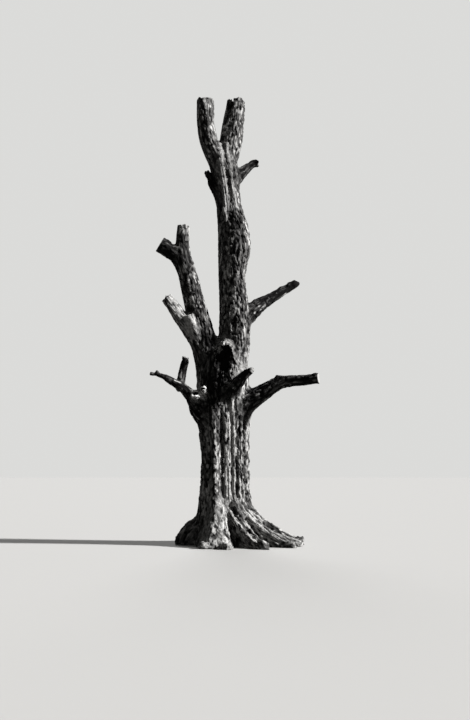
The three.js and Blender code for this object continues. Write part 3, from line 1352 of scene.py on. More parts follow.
# How far round a hollow is measured, how far outside its wall the lip peaks and how wide it is,
# and how far rot reaches past the wall. The hollows are the fork's, the holes of the two knots
# and the slit at the right prong's tip.
HOLLOW_NEAR = 0.75
LIP_OUT = 0.02
LIP_WIDTH = 0.045
ROT_EDGE = 0.012
HOLLOWS = (
    Hollow((-20, -480, 3530), (175, 150, 270), rough=45, lip=60),
    Hollow((-580, -490, 2885), (50, 90, 34), rough=8),
    Hollow((-408, -530, 2985), (40, 70, 14), rough=6),
    Hollow((150, 150, 9010), (14, 130, 140), rough=6),
)


@dataclass(frozen=True)
class Skinwork:
    """What is worked into a limb's skin at each place."""

    height: Array
    bare: Array
    groove: Array


@dataclass(frozen=True)
class Survey:
    """What is measured at points: their distance from the skin, and the skin beside them."""

    distance: Array
    owner: Array
    bare: Array
    groove: Array
    cut: Array


# The distance of points that no limb is near, how deep the skin is worked at all and in full,
# half the width of an end's edge, and how bare an end is
FAR = 1.0
SKIN_DEPTH = 0.12
FULL_DEPTH = 0.085
END_EDGE = 0.006
END_BARE = 0.35


def run_together(before: Array, own: Array, blend: float) -> tuple[Array, Array]:
    """Runs a second surface smoothly into a first.

    Args:
        before: distances from the first.
        own: distances from the second.
        blend: how wide the seam between them is.

    Returns:
        The distances from the two as one, and the second's share in them.
    """
    mix = np.clip(0.5 + 0.5 * (before - own) / blend, 0, 1)
    return before + (own - before) * mix - blend * mix * (1 - mix), mix


class Tree:
    """The whole tree as one signed distance, with its bark."""

    def __init__(self) -> None:
        """Gathers the limbs in the order in which they grow."""
        self.limbs: list[Limb] = [TRUNK, *roots(), LEADER, LEFT_STEM, *RIDGES, *BOUGHS]
        self.noise = Noise(seed=4)

    def work(self, limb: Limb, places: Places) -> Skinwork:
        """Works the bark, bare wood and cracks of a limb. Each pattern has a shift of its own.

        Args:
            limb: the limb.
            places: places near its surface.

        Returns:
            The skin's height there, how bare it is, and how much painted shade, with some dirt, darkens it.
        """
        relief = limb.relief
        spot = places.on_surface()
        size = np.clip(places.radius / FULL_RADIUS, LEAST_SIZE, 1.0)
        shift = 3.1 * limb.seed
        sway = self.noise.at(spot, SWAY_CELL, shift + 2)
        spot[:, :2] *= (1 + SWAY_SHARE * sway)[:, None]
        swell = self.noise.at(spot, (relief.swell_width, relief.swell_width, SWELL_LENGTH), shift)
        lumps = self.noise.at(spot, LUMP_CELL, shift + 5)
        small = self.noise.at(spot, SMALL_CELL, shift + 17)
        rope = relief.rope_width
        ropes = self.noise.at(spot, (rope, rope, relief.rope_length), shift + 31) + ROPE_FRAY * lumps
        gap = np.exp(-((ropes / GAP_WIDTH) ** 2))
        block = relief.block_width
        blocks = self.noise.at(spot, (block, block, BLOCK_LENGTH * block), shift + 11) + BLOCK_FRAY * small
        fissure = np.exp(-((blocks / FISSURE_WIDTH) ** 2))
        pits = smoothstep(*PIT_EDGES, self.noise.at(spot, PIT_CELL, shift + 23))
        peel = PEEL_SHARE * self.noise.at(spot, PEEL_CELL, shift + 27)
        flakes = FLAKE_SHARE * self.noise.at(spot, FLAKE_CELL, shift + 29)
        peel += flakes + PEEL_FRAY * lumps + PEEL_FRAY * small
        peel = peel + relief.bare
        cracks = self.noise.at(spot, CRACK_CELL, shift + 37) + CRACK_FRAY * small
        crack = np.exp(-((cracks / CRACK_WIDTH) ** 2))
        for patch in PATCHES:
            if patch.limb == limb.name:
                peel = peel + patch.at(places)
        bare = smoothstep(*BARE_EDGES, peel)
        barky = 1 - bare
        rough = relief.lump * (LUMP_SHARE * lumps + SMALL_SHARE * small)
        rough = rough * (BARE_ROUGH + (1 - BARE_ROUGH) * barky)
        knobs = self.noise.at(spot, KNOB_CELL, shift + 41)
        at_tip = np.exp(-np.maximum(-places.beyond, 0.0) / TIP_LENGTH)
        height = relief.swell * swell - relief.rope * gap + rough
        height += relief.knob * knobs * (KNOB_SHARE + at_tip)
        pitted = (BARE_PITS + (1 - BARE_PITS) * barky) * relief.pit * pits
        height -= barky * relief.block * fissure + pitted
        height -= bare * (relief.crack * crack + LOST_BARK)
        height += ROPE_LIFT * relief.rope + barky * BLOCK_LIFT * relief.block + PIT_LIFT * relief.pit
        sunward = places.across[:, 0] / (np.linalg.norm(places.across, axis=1) + LEAST_OUT)
        height *= size * (1 - relief.calm * smoothstep(*CALM_EDGES, -sunward))
        # Painted shade with some dirt in gaps, fissures, pits and cracks; painted light on lumps
        groove = GAP_SHADE_AND_DIRT * min(1.0, relief.rope / DEEP_ROPE) * gap + barky * FISSURE_SHADE_AND_DIRT * fissure
        groove = groove + PIT_SHADE_AND_DIRT * pits
        # Painted shade: bark on limbs that stand in shade is painted darker
        groove += CRACK_SHADE_AND_DIRT * bare * crack + barky * relief.stain - LUMP_PAINTED_LIGHT * lumps
        # Painted shade: bark kept by a patch is painted darker
        groove += KEPT_PAINTED_SHADE * smoothstep(*KEPT_EDGES, -peel)
        groove = np.clip(groove, 0, 1)
        return Skinwork(height, bare, groove)

    def survey(self, points: Array, worked: bool) -> Survey:
        """Measures the tree at points.

        Args:
            points: (N, 3) points.
            worked: whether the bark and the torn ends are worked in.

        Returns:
            The measures.
        """
        count = len(points)
        total = np.full(count, FAR)
        nearest = np.full(count, FAR)
        owner = np.zeros(count, np.int16)
        bare = np.zeros(count)
        groove = np.zeros(count)
        cut = np.zeros(count)
        for index, limb in enumerate(self.limbs):
            near = limb.near(points)
            if not len(near):
                continue
            places = limb.locate(points[near])
            own = np.maximum(places.distance, places.beyond)
            closer = own < nearest[near]
            nearest[near] = np.where(closer, own, nearest[near])
            owner[near] = np.where(closer, index, owner[near])
            if worked:
                own, looks = self.worked_limb(limb, places, own)
            total[near], mix = run_together(total[near], own, limb.blend)
            if worked:
                for kept, value in zip((bare, groove, cut), looks):
                    kept[near] += (value - kept[near]) * mix
        for burl in BURLS:
            near = np.nonzero(burl.distance(points) < BURL_NEAR)[0]
            own = burl.distance(points[near])
            if worked:
                own = own - BURL_ROUGH * self.noise.at(points[near], BURL_CELL, 83.0)
            total[near], _ = run_together(total[near], own, BURL_BLEND)
        if worked:
            total, rot, torn = self.hollowed(points, total)
            # Rot in the hollows takes the same near-black colour as the painted shade
            groove = np.maximum(groove, rot)
            bare = np.maximum(bare, np.maximum(rot, torn))
        return Survey(np.maximum(total, -points[:, 2]), owner, bare, groove, cut)

    def hollowed(self, points: Array, total: Array) -> tuple[Array, Array, Array]:
        """Cuts the rotted hollows, and tears up the lips over them.

        Args:
            points: (N, 3) points.
            total: their distances from the skin.

        Returns:
            The new distances, and how rotten and how torn the wood is.
        """
        rot = np.zeros(len(points))
        torn = np.zeros(len(points))
        for hollow in HOLLOWS:
            middle = np.array(hollow.middle) * MM
            near = np.nonzero(np.abs(points - middle).max(1) < HOLLOW_NEAR)[0]
            if not len(near):
                continue
            spot = points[near]
            coarse = self.noise.at(spot, ROT_CELL, 77.0)
            fine = self.noise.at(spot, FINE_ROT_CELL, 79.0)
            away = hollow.distance(spot)
            lip = np.exp(-(((away - LIP_OUT) / LIP_WIDTH) ** 2))
            lip *= smoothstep(*LIP_EDGES, hollow.upward(spot))
            skin = total[near] - hollow.lip * MM * lip * (1 + LIP_TEAR * coarse + LIP_TEAR * fine)
            inside = hollow.rough * MM * (coarse + FINE_ROT_SHARE * fine) - away
            rot[near] = np.maximum(rot[near], smoothstep(-ROT_EDGE, 0.0, inside - skin))
            torn[near] = np.maximum(torn[near], lip)
            total[near] = np.maximum(skin, inside)
        return total, rot, torn

    def worked_limb(
        self, limb: Limb, places: Places, own: Array
    ) -> tuple[Array, tuple[Array, Array, Array]]:
        """Works one limb's skin into its distances.

        Args:
            limb: the limb.
            places: places on it.
            own: their distances from its plain surface.

        Returns:
            Their distances from its worked surface, how bare and cut it is, and its painted shade.
        """
        close = np.nonzero(np.abs(own) < SKIN_DEPTH)[0]
        looks = tuple(np.zeros(len(own)) for _ in range(3))
        if not len(close):
            return own, looks
        there = places.taken(close)
        skin = self.work(limb, there)
        fade = 1 - smoothstep(FULL_DEPTH, SKIN_DEPTH, np.abs(own[close]))
        side = there.distance - skin.height * fade
        end = there.beyond - limb.ragged(there, self.noise) * fade
        own = own.copy()
        own[close] = np.maximum(side, end)
        at_end = smoothstep(-END_EDGE, END_EDGE, end - side)
        sawn = at_end if limb.end is End.SAWN else np.zeros_like(at_end)
        looks[0][close] = np.maximum(skin.bare, END_BARE * at_end)
        looks[1][close] = skin.groove * (1 - at_end)
        looks[2][close] = sawn
        return own, looks


# The skin and its pieces


class Slot(Enum):
    """The record's finishes."""

    BARK = "bark"
    BARE_WOOD = "bare_wood"


@dataclass(frozen=True)
class Section:
    """A piece of the skin: the node it stands for, the limbs it takes in and its heights."""

    name: str
    node: str
    limbs: tuple[str, ...]
    low: float = -1.0
    high: float = 20.0
    slot: Slot = Slot.BARK


# Heights at which the trunk and the leader are parted, and the limbs with no bark left on them
ROOT_TOP = 0.56
TRUNK_MIDDLE = 2.0
LEADER_MIDDLE = 5.25
BARE_LIMBS = ("hollow_knot", "split_knot")


def with_ridges(name: str) -> tuple[str, ...]:
    """A limb's name with those of the ridges on it."""
    return (name, *(ridge.name for ridge in RIDGES if ridge.on == name))


def sections(tree: Tree) -> list[Section]:
    """The pieces that the skin is parted into.

    Args:
        tree: the tree.

    Returns:
        The trunk's and the leader's sections, and one for each other limb.
    """
    stock = with_ridges("trunk") + tuple(limb.name for limb in tree.limbs if isinstance(limb, Root))
    made = [
        Section("root_flare", "trunk", stock, high=ROOT_TOP),
        Section("trunk_shaft", "trunk", stock, low=ROOT_TOP, high=TRUNK_MIDDLE),
        Section("trunk_fork", "trunk", stock, low=TRUNK_MIDDLE),
        Section("leader_foot", "leader", with_ridges("leader"), high=LEADER_MIDDLE),
        Section("leader_shaft", "leader", with_ridges("leader"), low=LEADER_MIDDLE),
        Section("left_stem_limb", "left_stem", with_ridges("left_stem")),
    ]
    for limb in BOUGHS:
        slot = Slot.BARE_WOOD if limb.name in BARE_LIMBS else Slot.BARK
        made.append(Section(f"{limb.name}_limb", limb.name, (limb.name,), slot=slot))
    return made


def joined(count: int, pairs: Array) -> Array:
    """Finds which items hang together.

    Args:
        count: how many items there are.
        pairs: (N, 2) items that touch.

    Returns:
        For each item, the lowest item of its group.
    """
    lowest = np.arange(count)
    while True:
        first, second = lowest[pairs[:, 0]], lowest[pairs[:, 1]]
        apart = first != second
        if not apart.any():
            return lowest
        np.minimum.at(lowest, np.maximum(first, second)[apart], np.minimum(first, second)[apart])
        while True:
            up = lowest[lowest]
            if np.array_equal(up, lowest):
                break
            lowest = up


def edges_of(quads: Array) -> tuple[Array, Array]:
    """Lists the quads' edges.

    Args:
        quads: (M, 4) quads.

    Returns:
        (4M, 2) directed edges, and the quad of each.
    """
    edges = np.concatenate([quads[:, [n, (n + 1) % 4]] for n in range(4)])
    return edges, np.tile(np.arange(len(quads)), 4)


def touching(quads: Array, count: int) -> Array:
    """Pairs the quads that share an edge.

    Args:
        quads: (M, 4) quads of a closed skin.
        count: how many points the skin has.

    Returns:
        (N, 4) pairs: two quads, and the two points of their edge.
    """
    edges, owners = edges_of(quads)
    low, high = edges.min(1), edges.max(1)
    order = np.argsort(low * count + high, kind="stable")
    low, high, owners = low[order], high[order], owners[order]
    same = (low[1:] == low[:-1]) & (high[1:] == high[:-1])
    return np.column_stack([owners[:-1][same], owners[1:][same], low[:-1][same], high[:-1][same]])


@dataclass
class Piece:
    """One closed piece of the skin, ready to be made into a mesh."""

    section: Section
    source: Array
    points: Array
    normals: Array
    quads: Array
    caps: Array


class Skin:
    """The tree's whole skin, measured at its points and parted into closed pieces.

    The margin is how far the worked skin may stand from the plain one, and the girth how far a
    limb may swell past its own. The sections are smoothed a number of times, and each time a
    quad goes over to the one that the majority of its neighbours is in. The grain is shifted from
    limb to limb, so that no two look alike. Caps are domed by a share of their radius.
    """

    MARGIN = 0.075
    GIRTH = 1.3
    SMOOTHING = 12
    MAJORITY = 3
    GRAIN_SHIFT = 0.7
    DOMING = 0.25

    def __init__(self, tree: Tree) -> None:
        """Meshes the tree and measures the skin.

        Args:
            tree: the tree.
        """
        self.tree = tree
        low = np.min([limb.centres.min(0) - limb.girth.max() * self.GIRTH for limb in tree.limbs], 0)
        high = np.max([limb.centres.max(0) + limb.girth.max() * self.GIRTH for limb in tree.limbs], 0)
        lattice = Lattice(low, high, self.MARGIN)
        points, quads = lattice.skin(
            lambda places: tree.survey(places, False).distance,
            lambda places: tree.survey(places, True).distance,
        )
        points, quads = self.largest(points, quads)
        points[:, 2] = np.where(points[:, 2] < LEVEL, 0.0, points[:, 2])
        self.points, self.quads = points, quads
        self.pairs = touching(quads, len(points))
        self.looks = tree.survey(points, True)
        self.normals = self.point_normals()
        self.grain = self.grain_places()
        LOG.info("skin: %d points, %d quads", len(points), len(quads))

    def largest(self, points: Array, quads: Array) -> tuple[Array, Array]:
        """Drops loose crumbs, and turns the quads to face out.

        Args:
            points: (N, 3) points.
            quads: (M, 4) quads.

        Returns:
            The points and quads of the largest closed skin.
        """
        group = joined(len(quads), touching(quads, len(points))[:, :2])
        quads = quads[group == np.bincount(group).argmax()]
        used, turned = np.unique(quads, return_inverse=True)
        points, quads = points[used], turned.reshape(-1, 4)
        corners = [points[quads[:, n]] for n in range(4)]
        volume = np.einsum("ij,ij->i", corners[0], np.cross(corners[1], corners[2])).sum()
        volume += np.einsum("ij,ij->i", corners[0], np.cross(corners[2], corners[3])).sum()
        return points, quads if volume > 0 else quads[:, ::-1]

    def grain_places(self) -> Array:
        """Places each point on its own limb.

        Returns:
            For each point, two coordinates across the grain and one along it.
        """
        grain = np.zeros_like(self.points)
        for index, limb in enumerate(self.tree.limbs):
            held = np.nonzero(self.looks.owner == index)[0]
            places = limb.locate(self.points[held])
            grain[held] = np.column_stack([places.across, places.along + self.GRAIN_SHIFT * index])
        return grain

    def point_normals(self) -> Array:
        """Averages the faces' directions at each point of the whole skin.

        Returns:
            (N, 3) directions of length 1.
        """
        corners = [self.points[self.quads[:, n]] for n in range(4)]
        across = np.cross(corners[2] - corners[0], corners[3] - corners[1])
        normals = np.zeros_like(self.points)
        for axis in range(3):
            for corner in range(4):
                normals[:, axis] += np.bincount(
                    self.quads[:, corner], weights=across[:, axis], minlength=len(self.points)
                )
        return normals / np.maximum(np.linalg.norm(normals, axis=1), LEAST_LENGTH)[:, None]

    def parted(self, parts: list[Section]) -> Array:
        """Gives each quad to a section.

        Args:
            parts: the sections.

        Returns:
            The number of each quad's section.
        """
        names = [limb.name for limb in self.tree.limbs]
        owner = self.looks.owner[self.quads[:, 0]]
        height = self.points[self.quads, 2].mean(1)
        labels = np.zeros(len(self.quads), int)
        for number, part in enumerate(parts):
            held = np.isin(owner, [names.index(name) for name in part.limbs])
            labels[held & (height > part.low) & (height <= part.high)] = number
        for _ in range(self.SMOOTHING):
            labels = self.settled(labels, len(parts))
            labels = self.gathered(labels, len(parts))
        for _ in range(self.SMOOTHING):
            if not self.unpinched(labels, len(parts)):
                break
            labels = self.gathered(labels, len(parts))
        return labels

    def settled(self, labels: Array, count: int) -> Array:
        """Gives a quad to the section that holds most of its neighbours.

        Args:
            labels: the quads' sections.
            count: how many sections there are.

        Returns:
            The smoothed sections.
        """
        first, second = self.pairs[:, 0], self.pairs[:, 1]
        votes = np.zeros(len(labels) * count, np.int16)
        np.add.at(votes, first * count + labels[second], 1)
        np.add.at(votes, second * count + labels[first], 1)
        votes = votes.reshape(-1, count)
        best = votes.argmax(1)
        return np.where(votes[np.arange(len(labels)), best] >= self.MAJORITY, best, labels)

    def gathered(self, labels: Array, count: int) -> Array:
        """Keeps each section in one stretch, and gives its outliers to their neighbours.

        Args:
            labels: the quads' sections.
            count: how many sections there are.

        Returns:
            The sections, each in one stretch.
        """
        first, second = self.pairs[:, 0], self.pairs[:, 1]
        same = labels[first] == labels[second]
        group = joined(len(labels), self.pairs[same][:, :2])
        sizes = np.bincount(group, minlength=len(labels))
        main = np.array([self.main_group(labels, group, sizes, number) for number in range(count)])
        labels = np.where(group == main[labels], labels, -1)
        waiting = np.count_nonzero(labels < 0)
        while waiting:
            for giver, taker in ((first, second), (second, first)):
                open_pairs = (labels[taker] < 0) & (labels[giver] >= 0)
                labels[taker[open_pairs]] = labels[giver[open_pairs]]
            left = np.count_nonzero(labels < 0)
            if left == waiting:
                raise ValueError(f"{left} quads touch no section")
            waiting = left
        return labels

    def main_group(self, labels: Array, group: Array, sizes: Array, number: int) -> int:
        """The largest stretch that a section holds."""
        held = np.unique(group[labels == number])
        return int(held[sizes[held].argmax()])

    def unpinched(self, labels: Array, count: int) -> bool:
        """Mends points where a section touches itself only at its corners.

        Args:
            labels: the quads' sections, which are changed in place.
            count: how many sections there are.

        Returns:
            Whether any were mended.
        """
        rims = self.pairs[labels[self.pairs[:, 0]] != labels[self.pairs[:, 1]]]
        ends = np.concatenate([rims[:, 2:].ravel()] * 2)
        sides = np.concatenate([np.repeat(labels[rims[:, 0]], 2), np.repeat(labels[rims[:, 1]], 2)])
        keys, times = np.unique(ends * count + sides, return_counts=True)
        pinched = keys[times > 2]
        if not len(pinched):
            return False
        mended = np.full(len(self.points), -1)
        mended[pinched // count] = pinched % count
        around = mended[self.quads].max(1)
        labels[around >= 0] = around[around >= 0]
        return True

    def pieces(self, parts: list[Section]) -> list[Piece]:
        """Parts the skin into closed pieces.

        Args:
            parts: the sections.

        Returns:
            One piece for each section.
        """
        labels = self.parted(parts)
        return [self.piece(part, self.quads[labels == number]) for number, part in enumerate(parts)]

    def piece(self, part: Section, quads: Array) -> Piece:
        """Closes one section's skin, with its open rims drawn in to a point inside the wood.

        Args:
            part: the section.
            quads: its quads.

        Returns:
            The piece.
        """
        source, local = np.unique(quads, return_inverse=True)
        local = local.reshape(-1, 4)
        points, normals = self.points[source], self.normals[source]
        edges, _ = edges_of(local)
        keys = edges[:, 0] * len(source) + edges[:, 1]
        mirrored = edges[:, 1] * len(source) + edges[:, 0]
        rim = edges[~np.isin(keys, mirrored)]
        group = joined(len(source), rim)
        caps, middles, facings = [], [], []
        for loop in np.unique(group[rim[:, 0]]):
            own = rim[group[rim[:, 0]] == loop]
            middle, facing = self.cap_middle(points, own)
            number = len(source) + len(middles)
            middles.append(middle)
            facings.append(facing)
            caps.append(np.column_stack([own[:, 1], own[:, 0], np.full(len(own), number)]))
        if middles:
            points = np.vstack([points, middles])
            normals = np.vstack([normals, facings])
        caps = np.concatenate(caps) if caps else np.empty((0, 3), int)
        return Piece(part, source, points, normals, local, caps)

    def cap_middle(self, points: Array, rim: Array) -> tuple[Array, Array]:
        """Places the middle of a cap over a rim.

        Args:
            points: the piece's points.
            rim: (N, 2) directed edges round the rim.

        Returns:
            The middle, a little way into the neighbouring piece, and the way it faces.
        """
        starts, ends = points[rim[:, 0]], points[rim[:, 1]]
        middle = starts.mean(0)
        facing = np.cross(ends - middle, starts - middle).sum(0)
        facing /= max(np.linalg.norm(facing), LEAST_LENGTH)
        return middle + facing * self.DOMING * np.linalg.norm(starts - middle, axis=1).mean(), facing


# Finishes


def linear(code: str) -> tuple[float, float, float, float]:
    """Turns an sRGB colour into linear values.

    Args:
        code: the colour as a hex code, such as "#8d867c".

    Returns:
        Linear red, green and blue, and 1 for solid.
    """
    parts = [int(code[n : n + 2], 16) / 255 for n in (1, 3, 5)]
    made = [part / 12.92 if part <= 0.04045 else ((part + 0.055) / 1.055) ** 2.4 for part in parts]
    return made[0], made[1], made[2], 1.0


def add_node(
    tree: NodeTree,
    kind: str,
    links: dict[str | int, object] | None = None,
    **settings: object,
) -> bpy.types.Node:
    """Adds a node with its settings and links.

    Args:
        tree: the node tree.
        kind: the node's type name.
        links: for each input, the output that feeds it or its plain value.
        settings: the node's own settings.

    Returns:
        The node.
    """
    node = tree.nodes.new(kind)
    for name, value in settings.items():
        setattr(node, name, value)
    for socket, source in (links or {}).items():
        if isinstance(source, bpy.types.NodeSocket):
            tree.links.new(source, node.inputs[socket])
        else:
            node.inputs[socket].default_value = source
    return node


@dataclass(frozen=True)
class WeatheredBark:
    """Bark on long-dead hardwood: grey ridges bleached by the sun over dark, dirty fissures.

    It was split by growth into upright plates, then worn. To the eye it is matt and rough, pale
    where it stands out and almost black between the plates. Its fibres are less than 1 mm wide,
    too fine to show, so they are drawn 9 mm wide. A stretch is a length for a width of 1.
    """

    ridge: str = "#908f8d"
    face: str = "#5c5b5a"
    fissure: str = "#1f1e1e"
    face_share: float = 0.45
    darkest: float = 0.1
    palest: float = 1.0
    plate: float = 45 * MM
    plate_stretch: float = 3.2
    fibre: float = 9 * MM
    fibre_stretch: float = 6.0
    fleck: float = 135 * MM
    fleck_stretch: float = 2.0
    roughness: float = 0.92


@dataclass(frozen=True)
class BareSapwood:
    """Sapwood that lost its bark: silvery fibres along the grain with fine dark drying cracks.

    Rain and sun bleached it, so it is the palest part and slightly smoother than the bark. Its
    fibres are less than 1 mm wide, too fine to show, so they are drawn 7 mm wide.
    """

    silver: str = "#b4b3b1"
    stain: str = "#8a8987"
    crack: str = "#2b2a29"
    crack_share: float = 0.66
    stain_share: float = 0.8
    grain: float = 7 * MM
    grain_stretch: float = 25.0
    streak: float = 60 * MM
    streak_stretch: float = 2.5
    roughness: float = 0.78


# Sapwood of the two knots, which wind and rain keep free of dirt: the palest wood on the tree
TORN_SAPWOOD = BareSapwood(silver="#dcdbd9", stain="#b4b3b1")


@dataclass(frozen=True)
class SawnEnd:
    """End grain cut across with a saw and left to weather: pale, with faint darker rings.

    Real rings are 3 to 5 mm wide, too fine to show, so they are drawn 12 mm wide.
    """

    face: str = "#a3a2a0"
    ring: str = "#8a8987"
    ring_width: float = 12 * MM


@dataclass(frozen=True)
class RotAndPaintedShade:
    """Rot in hollows, and painted shade with dirt in deep cracks: soft, nearly black, quite matt."""

    dark: str = "#121111"


@dataclass(frozen=True)
class Algae:
    """Algae and dust, dried into specks over bark and wood: dark grey and matt.

    Real specks are 1 to 3 mm wide, too fine to show, so they are drawn in clumps of 35 mm.
    """

    shade: str = "#262625"
    speck: float = 35 * MM
    speck_stretch: float = 1.5
    edges: tuple[float, float] = (0.5, 0.4)
    cover: float = 0.5


class TreeFinish:
    """The material that lays bark, bare wood, sawn ends, rot and painted shade where the skin says.

    Dry wood and bark have an ordinary IOR, but so much dust that they hardly shine.
    """

    IOR = 1.45
    SHINE = 0.08
    BUMP = 0.9
    BUMP_DEPTH = 8 * MM

    def __init__(self, slot: Slot) -> None:
        """Chooses the finishes.

        Args:
            slot: the record's slot that they are for.
        """
        self.slot = slot
        self.bark = WeatheredBark()
        self.wood = TORN_SAPWOOD if slot is Slot.BARE_WOOD else BareSapwood()
        self.sawn = SawnEnd()
        self.rot = RotAndPaintedShade()
        self.dirt = Algae()

    def material(self) -> bpy.types.Material:
        """Makes the slot's material.

        Returns:
            The material.
        """
        material = bpy.data.materials.new(f"weathered_{self.slot.value}")
        material.use_nodes = True
        tree = material.node_tree
        tree.nodes.clear()
        grain = add_node(tree, "ShaderNodeAttribute", attribute_name="grain").outputs["Vector"]
        bark = self.bark_colour(tree, grain)
        wood = self.wood_colour(tree, grain)
        return self.finished(tree, material, grain, bark, wood)

    def stretched(self, tree: NodeTree, grain: Socket, width: float, stretch: float) -> Socket:
        """Scales the grain's coordinates so that one unit is a given width and length.

        Args:
            tree: the node tree.
            grain: the coordinates in metres: two across the limb and one along it.
            width: size across the grain in metres.
            stretch: how many times as long it is along the grain.

        Returns:
            The scaled coordinates.
        """
        scale = (1 / width, 1 / width, 1 / (stretch * width))
        return add_node(tree, "ShaderNodeMapping", {"Vector": grain, "Scale": scale}).outputs["Vector"]

    def bark_colour(self, tree: NodeTree, grain: Socket) -> tuple[Socket, Socket]:
        """Lays the bark's colour and height.

        Args:
            tree: the node tree.
            grain: the limb's coordinates.

        Returns:
            The colour and the height.
        """
        plates = add_node(
            tree,
            "ShaderNodeTexVoronoi",
            {"Vector": self.stretched(tree, grain, self.bark.plate, self.bark.plate_stretch), "Scale": 1.0},
            feature="F1",
        ).outputs["Distance"]
        fibres = add_node(
            tree,
            "ShaderNodeTexNoise",
            {
                "Vector": self.stretched(tree, grain, self.bark.fibre, self.bark.fibre_stretch),
                "Scale": 1.0,
                "Detail": 4.0,
                "Roughness": 0.6,
            },
        ).outputs["Fac"]
        flecks = add_node(
            tree,
            "ShaderNodeTexNoise",
            {
                "Vector": self.stretched(tree, grain, self.bark.fleck, self.bark.fleck_stretch),
                "Scale": 1.0,
                "Detail": 3.0,
            },
        ).outputs["Fac"]
        raised = add_node(tree, "ShaderNodeMath", {0: fibres, 1: plates}, operation="SUBTRACT").outputs[0]
        raised = add_node(tree, "ShaderNodeMath", {0: raised, 1: flecks}, operation="ADD").outputs[0]
        share = add_node(
            tree,
            "ShaderNodeMapRange",
            {"Value": raised, "From Min": self.bark.darkest, "From Max": self.bark.palest},
        ).outputs["Result"]
        ramp = add_node(tree, "ShaderNodeValToRGB", {"Fac": share})
        ramp.color_ramp.elements[0].color = linear(self.bark.fissure)
        ramp.color_ramp.elements[1].color = linear(self.bark.ridge)
        ramp.color_ramp.elements.new(self.bark.face_share).color = linear(self.bark.face)
        return ramp.outputs["Color"], share

    def wood_colour(self, tree: NodeTree, grain: Socket) -> tuple[Socket, Socket]:
        """Lays the bare wood's colour and height.

        Args:
            tree: the node tree.
            grain: the limb's coordinates.

        Returns:
            The colour and the height.
        """
        fibres = add_node(
            tree,
            "ShaderNodeTexNoise",
            {
                "Vector": self.stretched(tree, grain, self.wood.grain, self.wood.grain_stretch),
                "Scale": 1.0,
                "Detail": 5.0,
                "Roughness": 0.65,
            },
        ).outputs["Fac"]
        streaks = add_node(
            tree,
            "ShaderNodeTexNoise",
            {
                "Vector": self.stretched(tree, grain, self.wood.streak, self.wood.streak_stretch),
                "Scale": 1.0,
                "Detail": 3.0,
            },
        ).outputs["Fac"]
        share = add_node(tree, "ShaderNodeMath", {0: fibres, 1: streaks}, operation="ADD").outputs[0]
        ramp = add_node(tree, "ShaderNodeValToRGB", {"Fac": share})
        ramp.color_ramp.elements[0].position = self.wood.crack_share
        ramp.color_ramp.elements[0].color = linear(self.wood.crack)
        ramp.color_ramp.elements[1].color = linear(self.wood.silver)
        ramp.color_ramp.elements.new(self.wood.stain_share).color = linear(self.wood.stain)
        return ramp.outputs["Color"], share

    def finished(
        self,
        tree: NodeTree,
        material: bpy.types.Material,
        grain: Socket,
        bark: tuple[Socket, Socket],
        wood: tuple[Socket, Socket],
    ) -> bpy.types.Material:
        """Mixes the finishes by the skin's measures and shades them.

        Args:
            tree: the node tree.
            material: its material.
            grain: the limb's coordinates.
            bark: the bark's colour and height.
            wood: the bare wood's colour and height.

        Returns:
            The material.
        """
        bare = add_node(tree, "ShaderNodeAttribute", attribute_name="bare").outputs["Fac"]
        groove = add_node(tree, "ShaderNodeAttribute", attribute_name="groove").outputs["Fac"]
        cut = add_node(tree, "ShaderNodeAttribute", attribute_name="cut").outputs["Fac"]
        colour = add_node(
            tree, "ShaderNodeMix", {0: bare, 6: bark[0], 7: wood[0]}, data_type="RGBA"
        ).outputs[2]
        height = add_node(tree, "ShaderNodeMix", {0: bare, 2: bark[1], 3: wood[1]}).outputs[0]
        flecks = add_node(
            tree,
            "ShaderNodeTexNoise",
            {
                "Vector": self.stretched(tree, grain, self.dirt.speck, self.dirt.speck_stretch),
                "Scale": 1.0,
                "Detail": 2.0,
            },
        ).outputs["Fac"]
        start, full = self.dirt.edges
        specked = add_node(
            tree,
            "ShaderNodeMapRange",
            {"Value": flecks, "From Min": start, "From Max": full, "To Max": self.dirt.cover},
        ).outputs["Result"]
        colour = add_node(
            tree, "ShaderNodeMix", {0: specked, 6: colour, 7: linear(self.dirt.shade)}, data_type="RGBA"
        ).outputs[2]
        colour = add_node(
            tree, "ShaderNodeMix", {0: cut, 6: colour, 7: self.sawn_colour(tree, grain)}, data_type="RGBA"
        ).outputs[2]
        # Painted shade with some dirt, and rot, turn the skin's darkened places nearly black
        colour = add_node(
            tree, "ShaderNodeMix", {0: groove, 6: colour, 7: linear(self.rot.dark)}, data_type="RGBA"
        ).outputs[2]
        bump = add_node(
            tree, "ShaderNodeBump", {"Height": height, "Strength": self.BUMP, "Distance": self.BUMP_DEPTH}
        )
        rough = add_node(
            tree, "ShaderNodeMix", {0: bare, 2: self.bark.roughness, 3: self.wood.roughness}
        ).outputs[0]
        shader = add_node(
            tree,
            "ShaderNodeBsdfPrincipled",
            {"Base Color": colour, "Roughness": rough, "Normal": bump.outputs["Normal"]},
        )
        shader.inputs["IOR"].default_value = self.IOR
        shader.inputs["Specular IOR Level"].default_value = self.SHINE
        add_node(tree, "ShaderNodeOutputMaterial", {"Surface": shader.outputs["BSDF"]})
        return material

    def sawn_colour(self, tree: NodeTree, grain: Socket) -> Socket:
        """Lays the rings of a sawn end.

        Args:
            tree: the node tree.
            grain: the limb's coordinates, with the pith at the middle.

        Returns:
            The colour.
        """
        flat = add_node(tree, "ShaderNodeMapping", {"Vector": grain, "Scale": (1.0, 1.0, 0.0)})
        rings = add_node(
            tree,
            "ShaderNodeTexWave",
            {
                "Vector": flat.outputs["Vector"],
                "Scale": 1 / self.sawn.ring_width / math.pi,
                "Distortion": 2.0,
                "Detail": 2.0,
            },
            wave_type="RINGS",
            rings_direction="SPHERICAL",
        ).outputs["Fac"]
        return add_node(
            tree,
            "ShaderNodeMix",
            {0: rings, 6: linear(self.sawn.face), 7: linear(self.sawn.ring)},
            data_type="RGBA",
        ).outputs[2]


# The pieces in the scene


